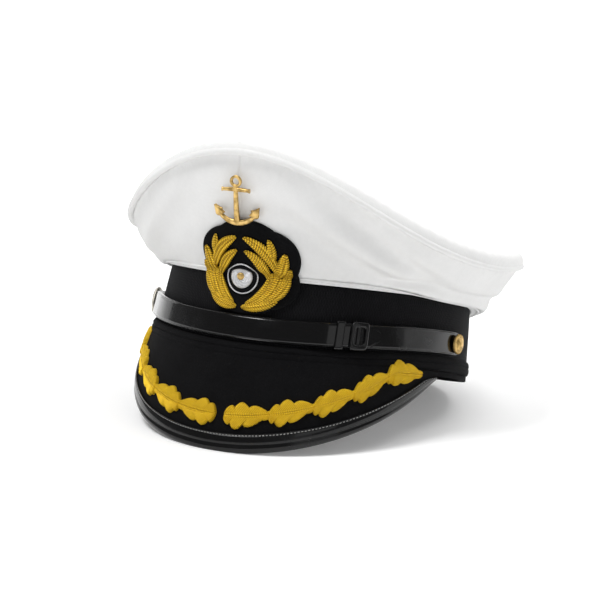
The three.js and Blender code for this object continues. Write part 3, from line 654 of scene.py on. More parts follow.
# %% Rows of stitches
def stitches(place, starts, long, wide, high, rows=7, sides=7, finish=0):
    """Small capsules along a run: place(along, across, proud)."""
    length = np.linspace(-1, 1, rows)[None, :, None]
    angle = np.linspace(0, 2 * math.pi, sides)[None, None]
    full = np.sqrt(np.clip(1 - length**2, 0, 1)) ** 0.7
    starts = np.asarray(starts)[:, None, None]
    along = np.broadcast_to(starts + long / 2 * length, (len(starts), rows, sides))
    across = wide / 2 * full * np.sin(angle) + 0 * along
    proud = high * full * (np.cos(angle) * 0.6 + 0.4) + 0 * along
    points = place(along, across, proud)
    uv = np.stack([along, across], -1)
    return [(one, flat, finish) for one, flat in zip(points, uv)]


# %% Piping round the rim
def crown_piping():
    turn = np.linspace(0, 2 * math.pi, 721)
    angle = np.linspace(0, 2 * math.pi, 14, endpoint=False)
    cord = 1 + 0.025 * np.sin(turn * 93) + 0.02 * np.sin(turn * 37 + 1)
    flat = np.where(np.cos(angle) < 0, 1.45, 1.0) * np.cos(angle)
    section = PIPING_RADIUS * np.stack([flat, np.sin(angle)])[:, :, None] * cord
    grid = sweep(lambda t, out, up: rim_point(t, out, up), turn, section, ring=True, reach=RIM_RADIUS)
    return sew("crown_piping", [grid], [COTTON])


crown_piping()


# %% The stitched hem
def crown_hem():
    turn = np.linspace(0, 2 * math.pi, 721)

    def place(t, up, proud):
        foot = crown_point(t, 0 * t, 0.0)
        long = np.linalg.norm(crown_point(t, 0 * t + 1, 0.0) - foot, axis=-1)
        point = crown_point(t, up / long, 0.0)
        climb = crown_point(t, up / long + 0.03, 0.0) - point
        level = np.stack([HEAD_HALF_WIDE * np.cos(t), HEAD_HALF_LONG * np.sin(t), 0 * t], -1)
        square = np.cross(level, climb)
        square /= np.linalg.norm(square, axis=-1, keepdims=True)
        return point + square * proud[..., None]

    height = np.linspace(0, HEM_HEIGHT, 15)
    edge = np.minimum(height, HEM_HEIGHT - height)
    swell = HEM_PROUD * np.clip(edge / 0.55, 0, 1) ** 0.5
    swell = swell - 0.35 * bump_at(height, HEM_LINE, 0.35)
    section = np.stack([np.append(height, [HEM_HEIGHT, 0]), np.append(GAP + swell * 0.8, [GAP, GAP])])
    grid = sweep(place, turn, section, ring=True, reach=HEM_RADIUS)
    pitch = 2 * math.pi / HEM_STITCHES
    row = stitches(lambda t, across, proud: place(t, HEM_LINE + across, GAP + 0.62 + proud),
                   np.arange(HEM_STITCHES) * pitch, pitch * 0.72, 0.5, 0.42, finish=1)
    return sew("crown_hem", [grid, *row], [COTTON, WHITE_THREAD])


crown_hem()

# %% [markdown]
# ## The top
#
# The top panel is a loose oval of cotton. It is held at the rim, rolls up over it, hangs like
# a soap film between the high front and the low back, and puffs up a little where nothing
# holds it. Gathers run in from the seam.

# %% Cut the top panel
def top_point(turn, share, inside=0.0, up=0.0):
    film = rim_height(turn, share)
    dome = (TOP_DOME - TOP_DOME_BACK * share * np.cos(turn)) * (1 - share**2)
    inward = share_of(1 - share, 0, TOP_LIP_REACH)
    lip = TOP_LIP * np.sqrt(1 - (1 - inward) ** 2)
    out = 1.4 * bump_at(1 - share, 0.015, 0.02) - inside
    return np.stack(np.broadcast_arrays(
        (RIM_HALF_WIDE + out) * share * np.sin(turn),
        RIM_BACK_SHIFT - (RIM_HALF_LONG + out) * share * np.cos(turn),
        film + dome + lip + up - inside * (1 - share**8) + PIPING_RADIUS + GAP), -1)


def crown_top():
    turn = np.linspace(0, 2 * math.pi, 721)[None]
    share = (1 - np.linspace(1, 0, 64) ** 1.7)[:, None]
    plain = top_point(turn, share)
    gathers = turn * RIM_RADIUS + 3 * ripple(plain, 40, 5)
    soft = 0.5 * ripple(plain, 42, 6) + 0.14 * ripple(plain, 13, 7)
    edge = 0.3 * np.sin(2 * math.pi * gathers / 9) * bump_at(share, 0.95, 0.035)
    tucked = -0.9 * bump_at(share, 1, 0.012)
    face = top_point(turn, share, up=soft * (1 - share**6) + edge + tucked)
    under = top_point(turn[:, ::6], np.linspace(1, 0, 14)[:, None], inside=CLOTH)
    side = np.stack([face[-1, ::6], under[0]])
    uv = np.stack([face[..., 0], face[..., 1]], -1)
    grids = [(face, uv, 0), (under, under[..., :2], 0), (side, side[..., :2], 0)]
    return sew("crown_top", grids, [COTTON])


crown_top()

# %% [markdown]
# ## The band, the welt and the foot
#
# Under the crown the band is wrapped in mohair. Below the strap a welt of wool runs round:
# two soft rolls with a crease between them. Under that is the plain foot that the cap rests
# on, pressed flat where it touches.

# %% Wrap the band
def on_band(turn, up, proud):
    return band_point(turn, proud, up)


def head_band():
    turn = np.linspace(0, 2 * math.pi, 481)
    section = outline((WELT_BOTTOM, 0), (STRAP_TOP, 0), (BAND_TOP - 0.3, 0), (BAND_TOP, -0.3),
                      (BAND_TOP, -BAND_WALL), (WELT_BOTTOM, -BAND_WALL))
    grid = sweep(on_band, turn, section, ring=True, reach=BAND_RADIUS)
    return sew("head_band", [grid], [MOHAIR])


head_band()


# %% Roll the welt
def lower_welt():
    turn = np.linspace(0, 2 * math.pi, 721)
    share = np.linspace(0, 1, 22)
    roll = WELT_PROUD * (1 - np.abs(2 * share - 1) ** 3.2) ** 0.6
    roll = roll - 0.75 * bump_at(share, 0.56, 0.05)
    height = blend(WELT_BOTTOM, WELT_TOP, share)
    section = np.stack([np.append(height, [WELT_TOP, WELT_BOTTOM]),
                        np.append(GAP + roll * 0.9, [0.1, 0.1])])

    def place(t, up, proud):
        return band_point(t, proud * blend(WELT_SLIM, 1, smooth_share(np.cos(t), -0.2, 0.35)), up)

    grid = sweep(place, turn, section, ring=True, reach=BAND_RADIUS)
    points = grid[0] + 0.08 * ripple(grid[0], 16, 8)[..., None]
    return sew("lower_welt", [(points, *grid[1:])], [WOOL])


lower_welt()


# %% The foot, pressed flat where the cap rests
def pressed_flat(points):
    """Moves what would be under the floor up to it."""
    world = leaned(points, lean) + shift
    under = np.minimum(world[..., 2], 0)
    lift = leaned(np.array([0.0, 0.0, 1.0]), -lean)
    return points - under[..., None] * lift


def base_strip():
    turn = np.linspace(0, 2 * math.pi, 481)
    section = outline((0.25, STRIP_PROUD), (STRIP_TOP, STRIP_PROUD), (STRIP_TOP, -BAND_WALL),
                      (0.25, -BAND_WALL), (0, -BAND_WALL + 0.4), (0, STRIP_PROUD - 0.3), fine=2)
    points, uv, finish = sweep(on_band, turn, section, ring=True, reach=BAND_RADIUS)
    return sew("base_strip", [(pressed_flat(points), uv, finish)], [WOOL])


base_strip()
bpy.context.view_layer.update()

# %% [markdown]
# ## The peak
#
# The peak is a steep sheet, stiff inside and covered in wool. It leaves the band under the
# welt and falls to a curved free edge. A place on it is told by how far round it lies, from -1
# at the wearer's right to 1 at the left, and by how far down from the band to the edge.

# %% A place on the peak
PEAK_END, PEAK_ROOT = math.radians(78), 2.4
PEAK_HALF_WIDE, PEAK_REACH, PEAK_BACK = 82.7, 90.5, 21.2
PEAK_END_HEIGHT, PEAK_DROP, PEAK_DROP_POWER = 12.7, 58.4, 0.9
PEAK_THICK, PEAK_BULGE, PEAK_SPAN = 2, 3, 0.965
BINDING_WIDE, BINDING_THICK, BEAD_RADIUS, SHELL_INSET = 9.8, 0.9, 2.3, 3.3


def peak_edge(u):
    front = np.maximum(np.cos(u * math.pi / 2), 0)
    return np.stack([PEAK_HALF_WIDE * np.sin(u * math.pi / 2), -PEAK_BACK - PEAK_REACH * front,
                     PEAK_END_HEIGHT - PEAK_DROP * front**PEAK_DROP_POWER], -1)


def peak_root(u):
    return band_point(u * PEAK_END, STRIP_PROUD + 1.4 * GAP + PEAK_THICK / 2, PEAK_ROOT)


def peak_point(u, w, proud):
    u, w, proud = np.broadcast_arrays(np.asarray(u, float), w, proud)
    root, edge, step = peak_root(u), peak_edge(u), 1e-3
    normal = np.cross(peak_root(u + step) - peak_root(u - step), edge - root)
    normal /= np.linalg.norm(normal, axis=-1, keepdims=True)
    bulge = PEAK_BULGE * 4 * w * (1 - w) * np.cos(u * math.pi / 2)
    way = np.stack([np.sin(u * 1.3), -np.cos(u * 1.3), np.zeros_like(u)], -1)
    return root + (edge - root) * w[..., None] + way * bulge[..., None] - normal * proud[..., None]


def peak_width(u):
    return np.linalg.norm(peak_root(u) - peak_edge(u), axis=-1)


def inset_share(u, inset):
    """How far down the peak lies a place `inset` mm in from its free edge."""
    return np.maximum(0.02, 1 - inset / peak_width(u))


# %% Cover the peak in wool
def peak():
    u = np.linspace(-PEAK_SPAN, PEAK_SPAN, 301)
    across = np.concatenate([np.linspace(-0.05, 1, 30), np.linspace(1, -0.05, 12)])
    proud = np.concatenate([np.full(30, PEAK_THICK / 2), np.full(12, -PEAK_THICK / 2)])

    def place(run, share, out):
        return peak_point(run, share * inset_share(run, SHELL_INSET), out)

    points, uv, finish = sweep(place, u, np.stack([across, proud]), reach=PEAK_RADIUS)
    points = points + 0.06 * ripple(points, 18, 9)[..., None]
    return sew("peak", [(points, uv * [1, 55], finish)], [WOOL])


peak()

# %% [markdown]
# ## The peak's binding
#
# A strip of patent leather is folded round the edge of the peak and sewn through: a flat band
# on the upper face, a row of small stitches near its inner edge, and a round bead at the
# outside that catches one long thin light. The stitches sink into the leather a little.

# %% Fold the binding round the edge
STITCH_INSET, PEAK_STITCHES, BEAD_EDGE = 8.8, 150, 4.3
BINDING_GAP, BINDING_SHARE = 1.5 * GAP, 0.7


def binding_section():
    inner = PEAK_THICK / 2 + BINDING_GAP
    outer = inner + BINDING_THICK
    turn = np.radians(np.linspace(-118, 118, 26))
    bead = np.stack([BEAD_RADIUS * (1 - np.cos(turn)), BEAD_RADIUS * np.sin(turn)])
    inset = np.linspace(BEAD_EDGE, BINDING_WIDE - 0.25, 34)
    face = outer + 0.12 * np.sin(math.pi * share_of(inset, BEAD_EDGE, STITCH_INSET - 0.4))
    face = face - 0.4 * bump_at(inset, STITCH_INSET, 0.3) - 0.45 * bump_at(inset, BEAD_EDGE, 0.4)
    upper = np.stack([inset, face])
    close = np.array([[BINDING_WIDE, BINDING_WIDE, SHELL_INSET - GAP, SHELL_INSET - GAP,
                       BINDING_WIDE - 1.5, BINDING_WIDE - 1.5, 4.2],
                      [outer - 0.3, inner, inner, -inner, -inner, -outer, -outer]])
    return np.concatenate([bead, upper, close], 1)


def on_peak(u, inset, proud):
    return peak_point(u, 1 - inset / peak_width(u), proud)


def on_binding(u, inset, proud):
    return on_peak(u, np.minimum(inset, BINDING_SHARE * peak_width(u)), proud)


def peak_binding():
    u = np.linspace(-PEAK_SPAN, PEAK_SPAN, 421)
    points, uv, finish = sweep(on_binding, u, binding_section(), reach=PEAK_RADIUS)
    points = pressed_flat(points + 0.05 * ripple(points, 22, 10)[..., None])
    starts = np.linspace(-0.94, 0.94, PEAK_STITCHES)
    top = PEAK_THICK / 2 + BINDING_GAP + BINDING_THICK - 0.34
    row = stitches(lambda a, across, proud: on_binding(a, STITCH_INSET + across, top + proud),
                   starts, 0.0086, 0.5, 0.42, finish=1)
    # The stitches' pale grey is a painted glint on what is black thread.
    return sew("peak_binding", [(points, uv, finish), *row], [PATENT, GLINT_PAINTED_THREAD])


peak_binding()

# %% [markdown]
# ## Oak leaves in satin stitch
#
# Two sprays of oak leaves run along the binding, from a small gap at the front to each end.
# Every leaf is padded with felt, so it stands up, and each half is covered with threads that
# slant from the midrib to the lobed edge. The tip of a leaf lies over the foot of the next. The
# midrib is two cords, sewn on top side by side and drawn together at both ends.

# %% Lengths along the line of the leaves
LEAF_COUNT, LEAF_LONG, LEAF_WIDE, LEAF_PITCH = 5, 25.5, 6.4, 22.5
LEAF_INSET, LEAF_CLIMB, GAP_SHIFT, GAP_HALF, BAND_CLEAR = 19, 12, 5, 2.2, 1.5


def leaf_inset(u):
    return np.minimum(LEAF_INSET + LEAF_CLIMB * u**2, peak_width(u) - BAND_CLEAR)


line = np.linspace(0, 0.97, 400)
steps = np.linalg.norm(np.diff(on_peak(line, leaf_inset(line), 0.0), axis=0), axis=1)
lengths = np.concatenate([[0], np.cumsum(steps)])


def on_spray(along, across, proud):
    """Millimetres along the line of leaves, across it towards the band, and up."""
    u = np.sign(along) * np.interp(np.abs(along), lengths, line)
    return on_peak(u, leaf_inset(u) + across, PEAK_THICK / 2 + proud)


# %% One leaf: its lobed outline, two padded halves and the thread over them
LOBES, THREAD_SLANT = 3.25, 0.85


def leaf_half_width(along, shift):
    body = np.sqrt(np.clip(1 - (2 * along - 1) ** 2, 0, 1))
    body = body * blend(1.05, 0.66, smooth_share(along, 0.35, 1))
    lobe = np.abs(np.sin(math.pi * (LOBES * along + shift))) ** 0.6
    return LEAF_WIDE * body * (0.66 + 0.42 * lobe), lobe


def oak_leaf(start, side):
    along = (1 - np.cos(np.linspace(0, math.pi, 160)))[:, None] / 2
    across = np.linspace(-1, 1, 35)[None]
    half, lobe = leaf_half_width(along, np.where(across > 0, 0.12, 0.3))
    lean = 3.0 * np.abs(across) ** 1.5 * np.sin(math.pi * along)
    x = start + LEAF_LONG * along - lean
    y = half * across
    ends = np.clip(np.minimum(along, 1 - along) / 0.04, 0, 1) ** 0.5
    dome = (1 - np.abs(2 * np.abs(across) - 1) ** 3.5) ** 0.5
    notch = 0.45 * (1 - lobe) * np.abs(across) ** 2
    over = 0.7 * (1 - along) ** 3
    up = 0.15 + ends * (0.35 * (np.abs(across) < 0.98) + 1.15 * dome - notch + over)
    thread = x + THREAD_SLANT * np.abs(y)
    ridge = 0.16 * np.sin(2 * math.pi * thread / THREAD_PITCH) * ends * (np.abs(across) < 0.97)
    points = on_spray(side * x + GAP_SHIFT, y, up + ridge)
    uv = np.stack([thread, y], -1)
    walls = []
    for at in (0, -1):
        foot = on_spray(side * x[:, at] + GAP_SHIFT, y[:, at], 0 * y[:, at])
        walls.append((np.stack([points[:, at], foot], 1), uv[:, [at, at]], 0))
    return [(points, uv, 0), *walls, *midrib(start, side)]


# %% The midrib, two cords that meet at the tip
def midrib(start, side):
    rib = np.linspace(0.03, 0.96, 90)
    angle = np.linspace(0, 2 * math.pi, 9, endpoint=False)[:, None]
    swell = np.sin(math.pi * np.clip(0.05 + 0.93 * rib, 0, 1)) ** 0.35
    rise = (0.5 + 0.9 * swell + 0.7 * (1 - rib) ** 3)

    def on_rib(run, a, p, lane):
        step = (run - start) / LEAF_LONG
        apart = lane * 0.58 * np.interp(step, rib, swell)
        return on_spray(side * run + GAP_SHIFT, a + apart, np.interp(step, rib, rise) + p)

    cords = []
    for lane in (-1, 1):
        twist = 0.52 * (1 + 0.14 * np.sin(rib * LEAF_LONG * 2 * math.pi / 1.0 + lane * angle)) * swell
        cords.append(sweep(lambda run, a, p, lane=lane: on_rib(run, a, p, lane),
                           start + LEAF_LONG * rib, round_section(angle, twist)))
    return cords


def peak_spray(name, side):
    grids = []
    for number in range(LEAF_COUNT):
        grids += oak_leaf(GAP_HALF + number * LEAF_PITCH, side)
    return sew(name, grids, [SATIN], sharp=180)


peak_spray("peak_spray_right", -1)
peak_spray("peak_spray_left", 1)

# %% [markdown]
# ## The chin strap
#
# The strap is two lengths of patent leather, buttoned at the temples. The longer one runs
# across the front and over the shorter, through a keeper and a slide buckle. A line is pressed
# along each edge, which is what makes a strap look finished.

# %% Both halves of the strap
STRAP_MIDDLE, STRAP_HALF = (STRAP_BOTTOM + STRAP_TOP) / 2, (STRAP_TOP - STRAP_BOTTOM) / 2
STRAP_END_RIGHT, STRAP_END_LEFT, STRAP_TIP = np.radians([-75, 83, 48.5])
SHANK_LIFT = 3.6
OVERLAP_START, STRAP_ROUND, STRAP_POINT = math.radians(32), math.radians(4.4), math.radians(4)
OVER = STRAP_STAND + STRAP_THICK + GAP


def strap_half(turn, stand, half):
    share = np.linspace(-1, 1, 41)
    edge = 1 - np.abs(share)
    face = STRAP_THICK - 0.55 * (1 - np.clip(edge / 0.05, 0, 1)) ** 2 - 0.34 * bump_at(edge, 0.17, 0.035)
    face = face + 0.12 * bump_at(edge, 0.09, 0.05)
    across = np.concatenate([share, [1, -1]])[:, None] * half
    proud = np.concatenate([face, [0, 0]])[:, None] + stand
    return sweep(lambda t, up, out: band_point(t, out, STRAP_MIDDLE + up), turn,
                 np.stack([across, proud]), reach=BAND_RADIUS)


def round_end(turn):
    past = np.clip(np.maximum(STRAP_END_RIGHT - turn, turn - STRAP_END_LEFT) / STRAP_ROUND, 0, 0.995)
    return STRAP_HALF * np.sqrt(1 - past**2)


def strap_long():
    start = STRAP_END_RIGHT - STRAP_ROUND
    turn = np.concatenate([np.linspace(start, STRAP_END_RIGHT, 24, endpoint=False),
                           np.linspace(STRAP_END_RIGHT, STRAP_TIP, 340)])
    stand = blend(STRAP_STAND, OVER, smooth_share(turn, math.radians(21), OVERLAP_START))
    stand = stand + SHANK_LIFT * smooth_share(-turn, math.radians(50), -STRAP_END_RIGHT)
    tip = np.clip((STRAP_TIP - turn) / STRAP_POINT, 0.02, 1) ** 0.8
    grid = strap_half(turn, stand, round_end(np.minimum(turn, 0)) * tip)
    return sew("strap_long", [grid], [PATENT])


def strap_short():
    turn = np.concatenate([np.linspace(OVERLAP_START - math.radians(1), STRAP_END_LEFT, 120),
                           np.linspace(STRAP_END_LEFT, STRAP_END_LEFT + STRAP_ROUND, 25)[1:]])
    grid = strap_half(turn, np.full_like(turn, STRAP_STAND), round_end(turn))
    return sew("strap_short", [grid], [PATENT])


strap_long()
strap_short()


# %% The keeper, a loop of leather
KEEPER_TURN, KEEPER_HALF = math.radians(34.4), math.radians(1.3)
BUCKLE_TURN, BUCKLE_HALF = math.radians(40.5), math.radians(2.9)
SLEEVE_INSIDE, SLEEVE_OUTSIDE = STRAP_STAND - GAP, OVER + STRAP_THICK + GAP


def sleeve(middle, half, wall, front):
    """A loop round the strap: a flat section carried round a soft rectangle."""
    angle = np.linspace(0, 2 * math.pi, 121)
    up, out = soft_square(angle, 9)
    section = rounded(-half, half, 0, 1, power=5, count=24)

    def place(run, across, depth):
        thick = blend(wall, front, np.clip(np.interp(run, angle, out), 0, 1))
        tall = STRAP_HALF + GAP + depth * wall
        deep = (SLEEVE_OUTSIDE - SLEEVE_INSIDE) / 2 + depth * thick
        height = STRAP_MIDDLE + np.interp(run, angle, up) * tall
        proud = (SLEEVE_OUTSIDE + SLEEVE_INSIDE) / 2 + np.interp(run, angle, out) * deep
        return band_point(middle + across, proud, height)

    return sweep(place, angle, section, ring=True, reach=12)


def strap_keeper():
    return sew("strap_keeper", [sleeve(KEEPER_TURN, KEEPER_HALF, 0.6, 0.6)], [PATENT])


strap_keeper()


# %% The slide buckle, a padded frame with a bar
def strap_buckle():
    angle = np.linspace(0, 2 * math.pi, 97)
    turn, up = soft_square(angle, 6)
    section = rounded(0.0, 1.0, -0.35, 1.5, power=2.4, count=22)

    def place(run, across, out):
        wide = blend(0.56, 1.0, across) * BUCKLE_HALF
        tall = blend(0.6, 1.0, across) * (STRAP_HALF + GAP + 0.6)
        return band_point(BUCKLE_TURN + np.interp(run, angle, turn) * wide, SLEEVE_OUTSIDE + out,
                          STRAP_MIDDLE + np.interp(run, angle, up) * tall)

    ring = sweep(place, angle, section, ring=True, reach=5)
    side = np.linspace(-1, 1, 40) * (STRAP_HALF - 0.6)
    bar = sweep(lambda run, a, out: band_point(BUCKLE_TURN - math.radians(0.4) + a / BAND_RADIUS,
                                               SLEEVE_OUTSIDE + out, STRAP_MIDDLE + run),
                side, rounded(-0.8, 0.8, 0.0, 1.0, power=2.4, count=14))
    back = sleeve(BUCKLE_TURN, BUCKLE_HALF * 0.8, 0.6, -0.2)
    return sew("strap_buckle", [ring, bar, back], [PATENT])


strap_buckle()

# %% [markdown]
# ## Buttons
#
# Two buttons hold the strap, a gilt one and a larger, paler one whose shank lifts the strap's
# end. Each is a low dome stamped from sheet brass, with a stepped edge and a reeded rim. It is
# turned on an axis that points straight out of the band, and the reeds are slanting waves.

# %% Turn the buttons
BUTTON_HEIGHT = 3.6


def button(name, turn, size, lift, finish):
    proud = STRAP_STAND + lift + STRAP_THICK + 2 * GAP
    seat = band_point(np.array(turn), proud, STRAP_MIDDLE)
    along = band_point(np.array(turn + 1e-3), proud, STRAP_MIDDLE) - seat
    along /= np.linalg.norm(along)
    up = np.array([0.0, 0.0, 1.0])
    up -= along * (up @ along)
    up /= np.linalg.norm(up)
    axis = np.cross(along, up)
    angle = np.linspace(0, 2 * math.pi, 145)[None]
    profile = np.array([(0, 0), (0.83, 0), (0.95, 0.25), (1, 0.8), (0.99, 1.5), (0.94, 1.95),
                        (0.87, 2.1), (0.8, 1.95), (0.75, 1.75), (0.71, 1.95), (0.62, 2.5),
                        (0.48, 3.0), (0.32, 3.35), (0.16, 3.55), (0, BUTTON_HEIGHT)])
    fine = np.linspace(0, len(profile) - 1, 57)
    share = np.interp(fine, np.arange(len(profile)), profile[:, 0])[:, None]
    rise = np.interp(fine, np.arange(len(profile)), profile[:, 1])[:, None]
    reeds = np.sin(6 * round(size) * angle + 5 * rise) * bump_at(share, 0.97, 0.09)
    radius = size * share + 0.14 * reeds
    height = rise + 0.14 * reeds * (rise > 1.0)
    points = (seat + (radius * np.cos(angle))[..., None] * along
              + (radius * np.sin(angle))[..., None] * up + height[..., None] * axis)
    uv = np.stack([angle * size + 0 * radius, radius + 0 * angle], -1)
    return sew(name, [(points, uv, 0)], [finish])


button("button_right", STRAP_END_RIGHT, 8.2, SHANK_LIFT, PALE_GILT)
button("button_left", STRAP_END_LEFT, 5.4, 0, GILT)

# %% [markdown]
# ## The badge
#
# The badge is embroidered on its own shield of felt and sewn over the seam between band and
# crown. We lay it out flat, in millimetres across and up, and one function bends it on to the
# front of the cap. The shield is stiff, so it bridges the corner where the crown leans out.

# %% A place on the front, and the felt shield
PATCH_HALF_WIDE, PATCH_BOTTOM, PATCH_TOP, PATCH_SHIFT, PATCH_THICK = 27, 26.4, 73.6, 3, 1.8
PATCH_MIDDLE, PATCH_HALF_HIGH = (PATCH_TOP + PATCH_BOTTOM) / 2, (PATCH_TOP - PATCH_BOTTOM) / 2
ON_PATCH = 2 * GAP + PATCH_THICK
BRIDGE_SPAN, BRIDGE_SLOPE = 6, 0.7


def on_face(across, height, proud):
    across, height, proud = np.broadcast_arrays(across, np.asarray(height, float), proud)
    turn = across / HEAD_HALF_WIDE
    away = np.abs(height - CROWN_FOOT) / BRIDGE_SPAN
    out = proud + BRIDGE_SLOPE * BRIDGE_SPAN * np.log(1 + np.exp(-away))
    share = np.maximum(height - CROWN_FOOT, 0) / (sum(RIM_WAVES) - CROWN_FOOT)
    low = height <= CROWN_FOOT
    return np.where(low[..., None], band_point(turn, out, height), crown_point(turn, share, out))


def badge_patch():
    angle = np.linspace(0, 2 * math.pi, 361)[None]
    up, across = soft_square(angle, 2.6) * (0.955 + 0.075 * np.abs(np.cos(3 * angle)))
    bevel = np.linspace(0, 0.95, 8)
    share = np.concatenate([np.linspace(0, 0.96, 30), 0.965 + 0.035 * bevel / 0.95, [1.0],
                            np.linspace(1, 0, 6)])[:, None]
    proud = np.concatenate([np.full(30, 1.0), np.sqrt(1 - bevel**2), np.zeros(7)])[:, None]
    across, up = PATCH_HALF_WIDE * share * across, PATCH_HALF_HIGH * share * up
    points = on_face(PATCH_SHIFT + across, PATCH_MIDDLE + up, proud * PATCH_THICK + GAP)
    uv = np.stack([across, up], -1)
    return sew("badge_patch", [(points, uv, 0)], [FELT])


badge_patch()

# %% [markdown]
# The wreath is bullion. Each leaf is two rows of coil, sewn side by side so that they swell in
# the middle and meet at the foot and the tip, with a dark line between them. A third, thinner
# coil often fills the middle. The turns of the coil are real ridges here, because they catch
# the light one by one.

# %% Sew the wreath
WREATH_LEAVES = [
    # foot across and height, tip across and height, half width, outward bend
    (1.6, 29, 18.6, 34, 2.8, 1),
    (3.6, 31, 13.4, 45, 2.5, 2.6),
    (8, 30.5, 18.4, 49, 3.3, 2.4),
    (14.6, 33, 23, 46.6, 3, 1),
    (16.4, 44, 21.2, 61.4, 3, 0.6),
    (13.6, 44, 2.2, 60, 2.7, 2.6),
    (17.6, 50.6, 2, 66.4, 3, 2.6),
    (7, 28.6, 22, 38.4, 2.1, -1.2),
    (12.2, 37, 15.4, 49.6, 1.9, 0.8),
    (19.4, 40, 23.6, 54, 2.1, 0.6),
    (14.8, 54.6, 13.6, 67.2, 2.1, 0.8),
]
WREATH_REACH = {1: 1.08, -1: 0.94}


def bullion(x0, z0, x1, z1, half, bend, side, lane, low):
    """One coil of a leaf; lane is -1 or 1 for its two sides and 0 for its middle."""
    long = math.hypot(x1 - x0, z1 - z0)
    along = np.linspace(0, 1, int(long * 4.5))
    swell = np.sin(math.pi * np.clip(0.03 + 0.95 * along, 0, 1)) ** 0.55
    middle = lane * half * 0.52 * swell + 4 * bend * along * (1 - along)
    angle = np.linspace(0, 2 * math.pi, 10, endpoint=False)[:, None]
    turns = 0.17 * np.sin(2 * math.pi * along * long / BULLION_PITCH + lane * side * angle)
    thick = half * (0.47 if lane else 0.26) * swell * (1 + turns)
    rise = low + 0.2 + (0 if lane else 0.3 * half)
    section = np.stack([np.cos(angle) * thick, rise + np.sin(angle) * thick * 0.85])

    def place(run, a, out):
        a = a + np.interp(run, along, middle)
        x = blend(x0, x1, run) + a * (z1 - z0) / long
        return on_face(side * WREATH_REACH[side] * x, blend(z0, z1, run) - a * (x1 - x0) / long,
                       ON_PATCH + out)

    return sweep(place, along, section, reach=long)


def wreath(name, side):
    grids = []
    for number, leaf in enumerate(WREATH_LEAVES):
        low = 0.35 + 0.25 * (number % 2)
        grids += [bullion(*leaf, side, lane, low) for lane in (-1, 0, 1)]
    return sew(name, grids, [BULLION], sharp=180)


wreath("wreath_right", -1)
wreath("wreath_left", 1)

# %% [markdown]
# The cockade stands in the wreath: a ring of silver cord, a ground of dark blue cloth, and a
# padded disc of silver wire laid round and round, with a gilt boss in the middle.

# %% Ring, ground and disc
COCKADE_HEIGHT, COCKADE_RADIUS, RING_THICK = 44.5, 9.2, 0.7


def cockade_ring():
    angle = np.linspace(0, 2 * math.pi, 361)
    loop = np.linspace(0, 2 * math.pi, 12, endpoint=False)[:, None]
    thick = 0.36 * (1 + 0.14 * np.sin(60 * angle + 2 * loop))
    section = round_section(loop, thick)

    def place(run, a, out):
        radius = COCKADE_RADIUS - RING_THICK + a
        height = COCKADE_HEIGHT + radius * np.cos(run)
        return on_face(radius * np.sin(run), height, ON_PATCH + 0.45 + out)

    return sew("cockade_ring", [sweep(place, angle, section, ring=True, reach=9)], [SILVER],
               sharp=180)


def round_pad(radius, profile, spokes=145, reach=6.0, finish=0):
    """A round pad on the badge: profile is rows of (share of its radius, mm proud)."""
    share, proud = np.array(profile, float).T
    fine = np.linspace(0, len(share) - 1, 6 * len(share))
    share, proud = (np.interp(fine, np.arange(len(share)), one)[:, None] for one in (share, proud))
    angle = np.linspace(0, 2 * math.pi, spokes)[None]
    points = on_face(radius * share * np.sin(angle), COCKADE_HEIGHT + radius * share * np.cos(angle),
                     ON_PATCH + proud + 0 * angle)
    uv = np.stack(np.broadcast_arrays(angle * reach, radius * share), -1)
    return points, uv, finish


def cockade_ground():
    radius = COCKADE_RADIUS - 2 * RING_THICK - GAP
    pad = round_pad(radius, [(0, 0.9), (0.9, 0.9), (1, 0.5), (1, 0), (0, 0)])
    return sew("cockade_ground", [pad], [BLUE])


def cockade_disc():
    share = np.linspace(0.30, 1, 50)
    coils = 0.13 * np.abs(np.sin(share * 6 * math.pi / 0.95))
    face = [(s, 1.2 + 1.5 * math.sqrt(max(0.0, 1 - s**4)) + c) for s, c in zip(share, coils)]
    disc = round_pad(6.0, [(0, 2.5), *face, (1, 1.2), (0, 1.2)], spokes=181)
    wire = disc[0] + 0.05 * np.sin(np.linspace(0, 2 * math.pi, 181) * 44)[None, :, None]
    boss = round_pad(2.1, [(0, 3.5), (0.4, 3.4), (0.75, 3.1), (0.95, 2.7), (1, 2.4), (0, 2.4)], finish=1)
    return sew("cockade_disc", [(wire, *disc[1:]), boss], [SILVER, GILT])


cockade_ring()
cockade_ground()
cockade_disc()

# %% [markdown]
# ## The emblem
#
# Over the badge sits a plain gilt anchor, the common mark of seafaring. It is made like a
# stamping: a tapered shank, a stock with knobs, a ring, and two arms that end in pointed
# flukes. All of it is drawn flat and bent on to the crown by the badge's own function.

# %% Stamp the anchor
ANCHOR_FOOT, ANCHOR_HIGH, ANCHOR_THICK = 72.8, 22, 2


def rod(path, wide, low=0.2, high=ANCHOR_THICK, count=16):
    """A rounded bar along a flat path of (across, up), as wide at each point as told."""
    path = np.array(path, float)
    fine = np.linspace(0, len(path) - 1, 12 * len(path))
    x, z = (np.interp(fine, np.arange(len(path)), path[:, i]) for i in range(2))
    half = np.interp(fine, np.arange(len(path)), wide)
    dx, dz = np.gradient(x), np.gradient(z)
    size = np.hypot(dx, dz)
    shape = rounded(-1, 1, low, high, power=3, count=count)
    section = np.stack([shape[0][:, None] * half, shape[1][:, None] * np.ones(len(fine))])

    def place(run, a, out):
        at = [np.interp(run, fine, one) for one in (x, z, dx / size, dz / size)]
        return on_face(at[0] + a * at[3], ANCHOR_FOOT + at[1] - a * at[2], ON_PATCH + out)

    return sweep(place, fine, section, reach=2)


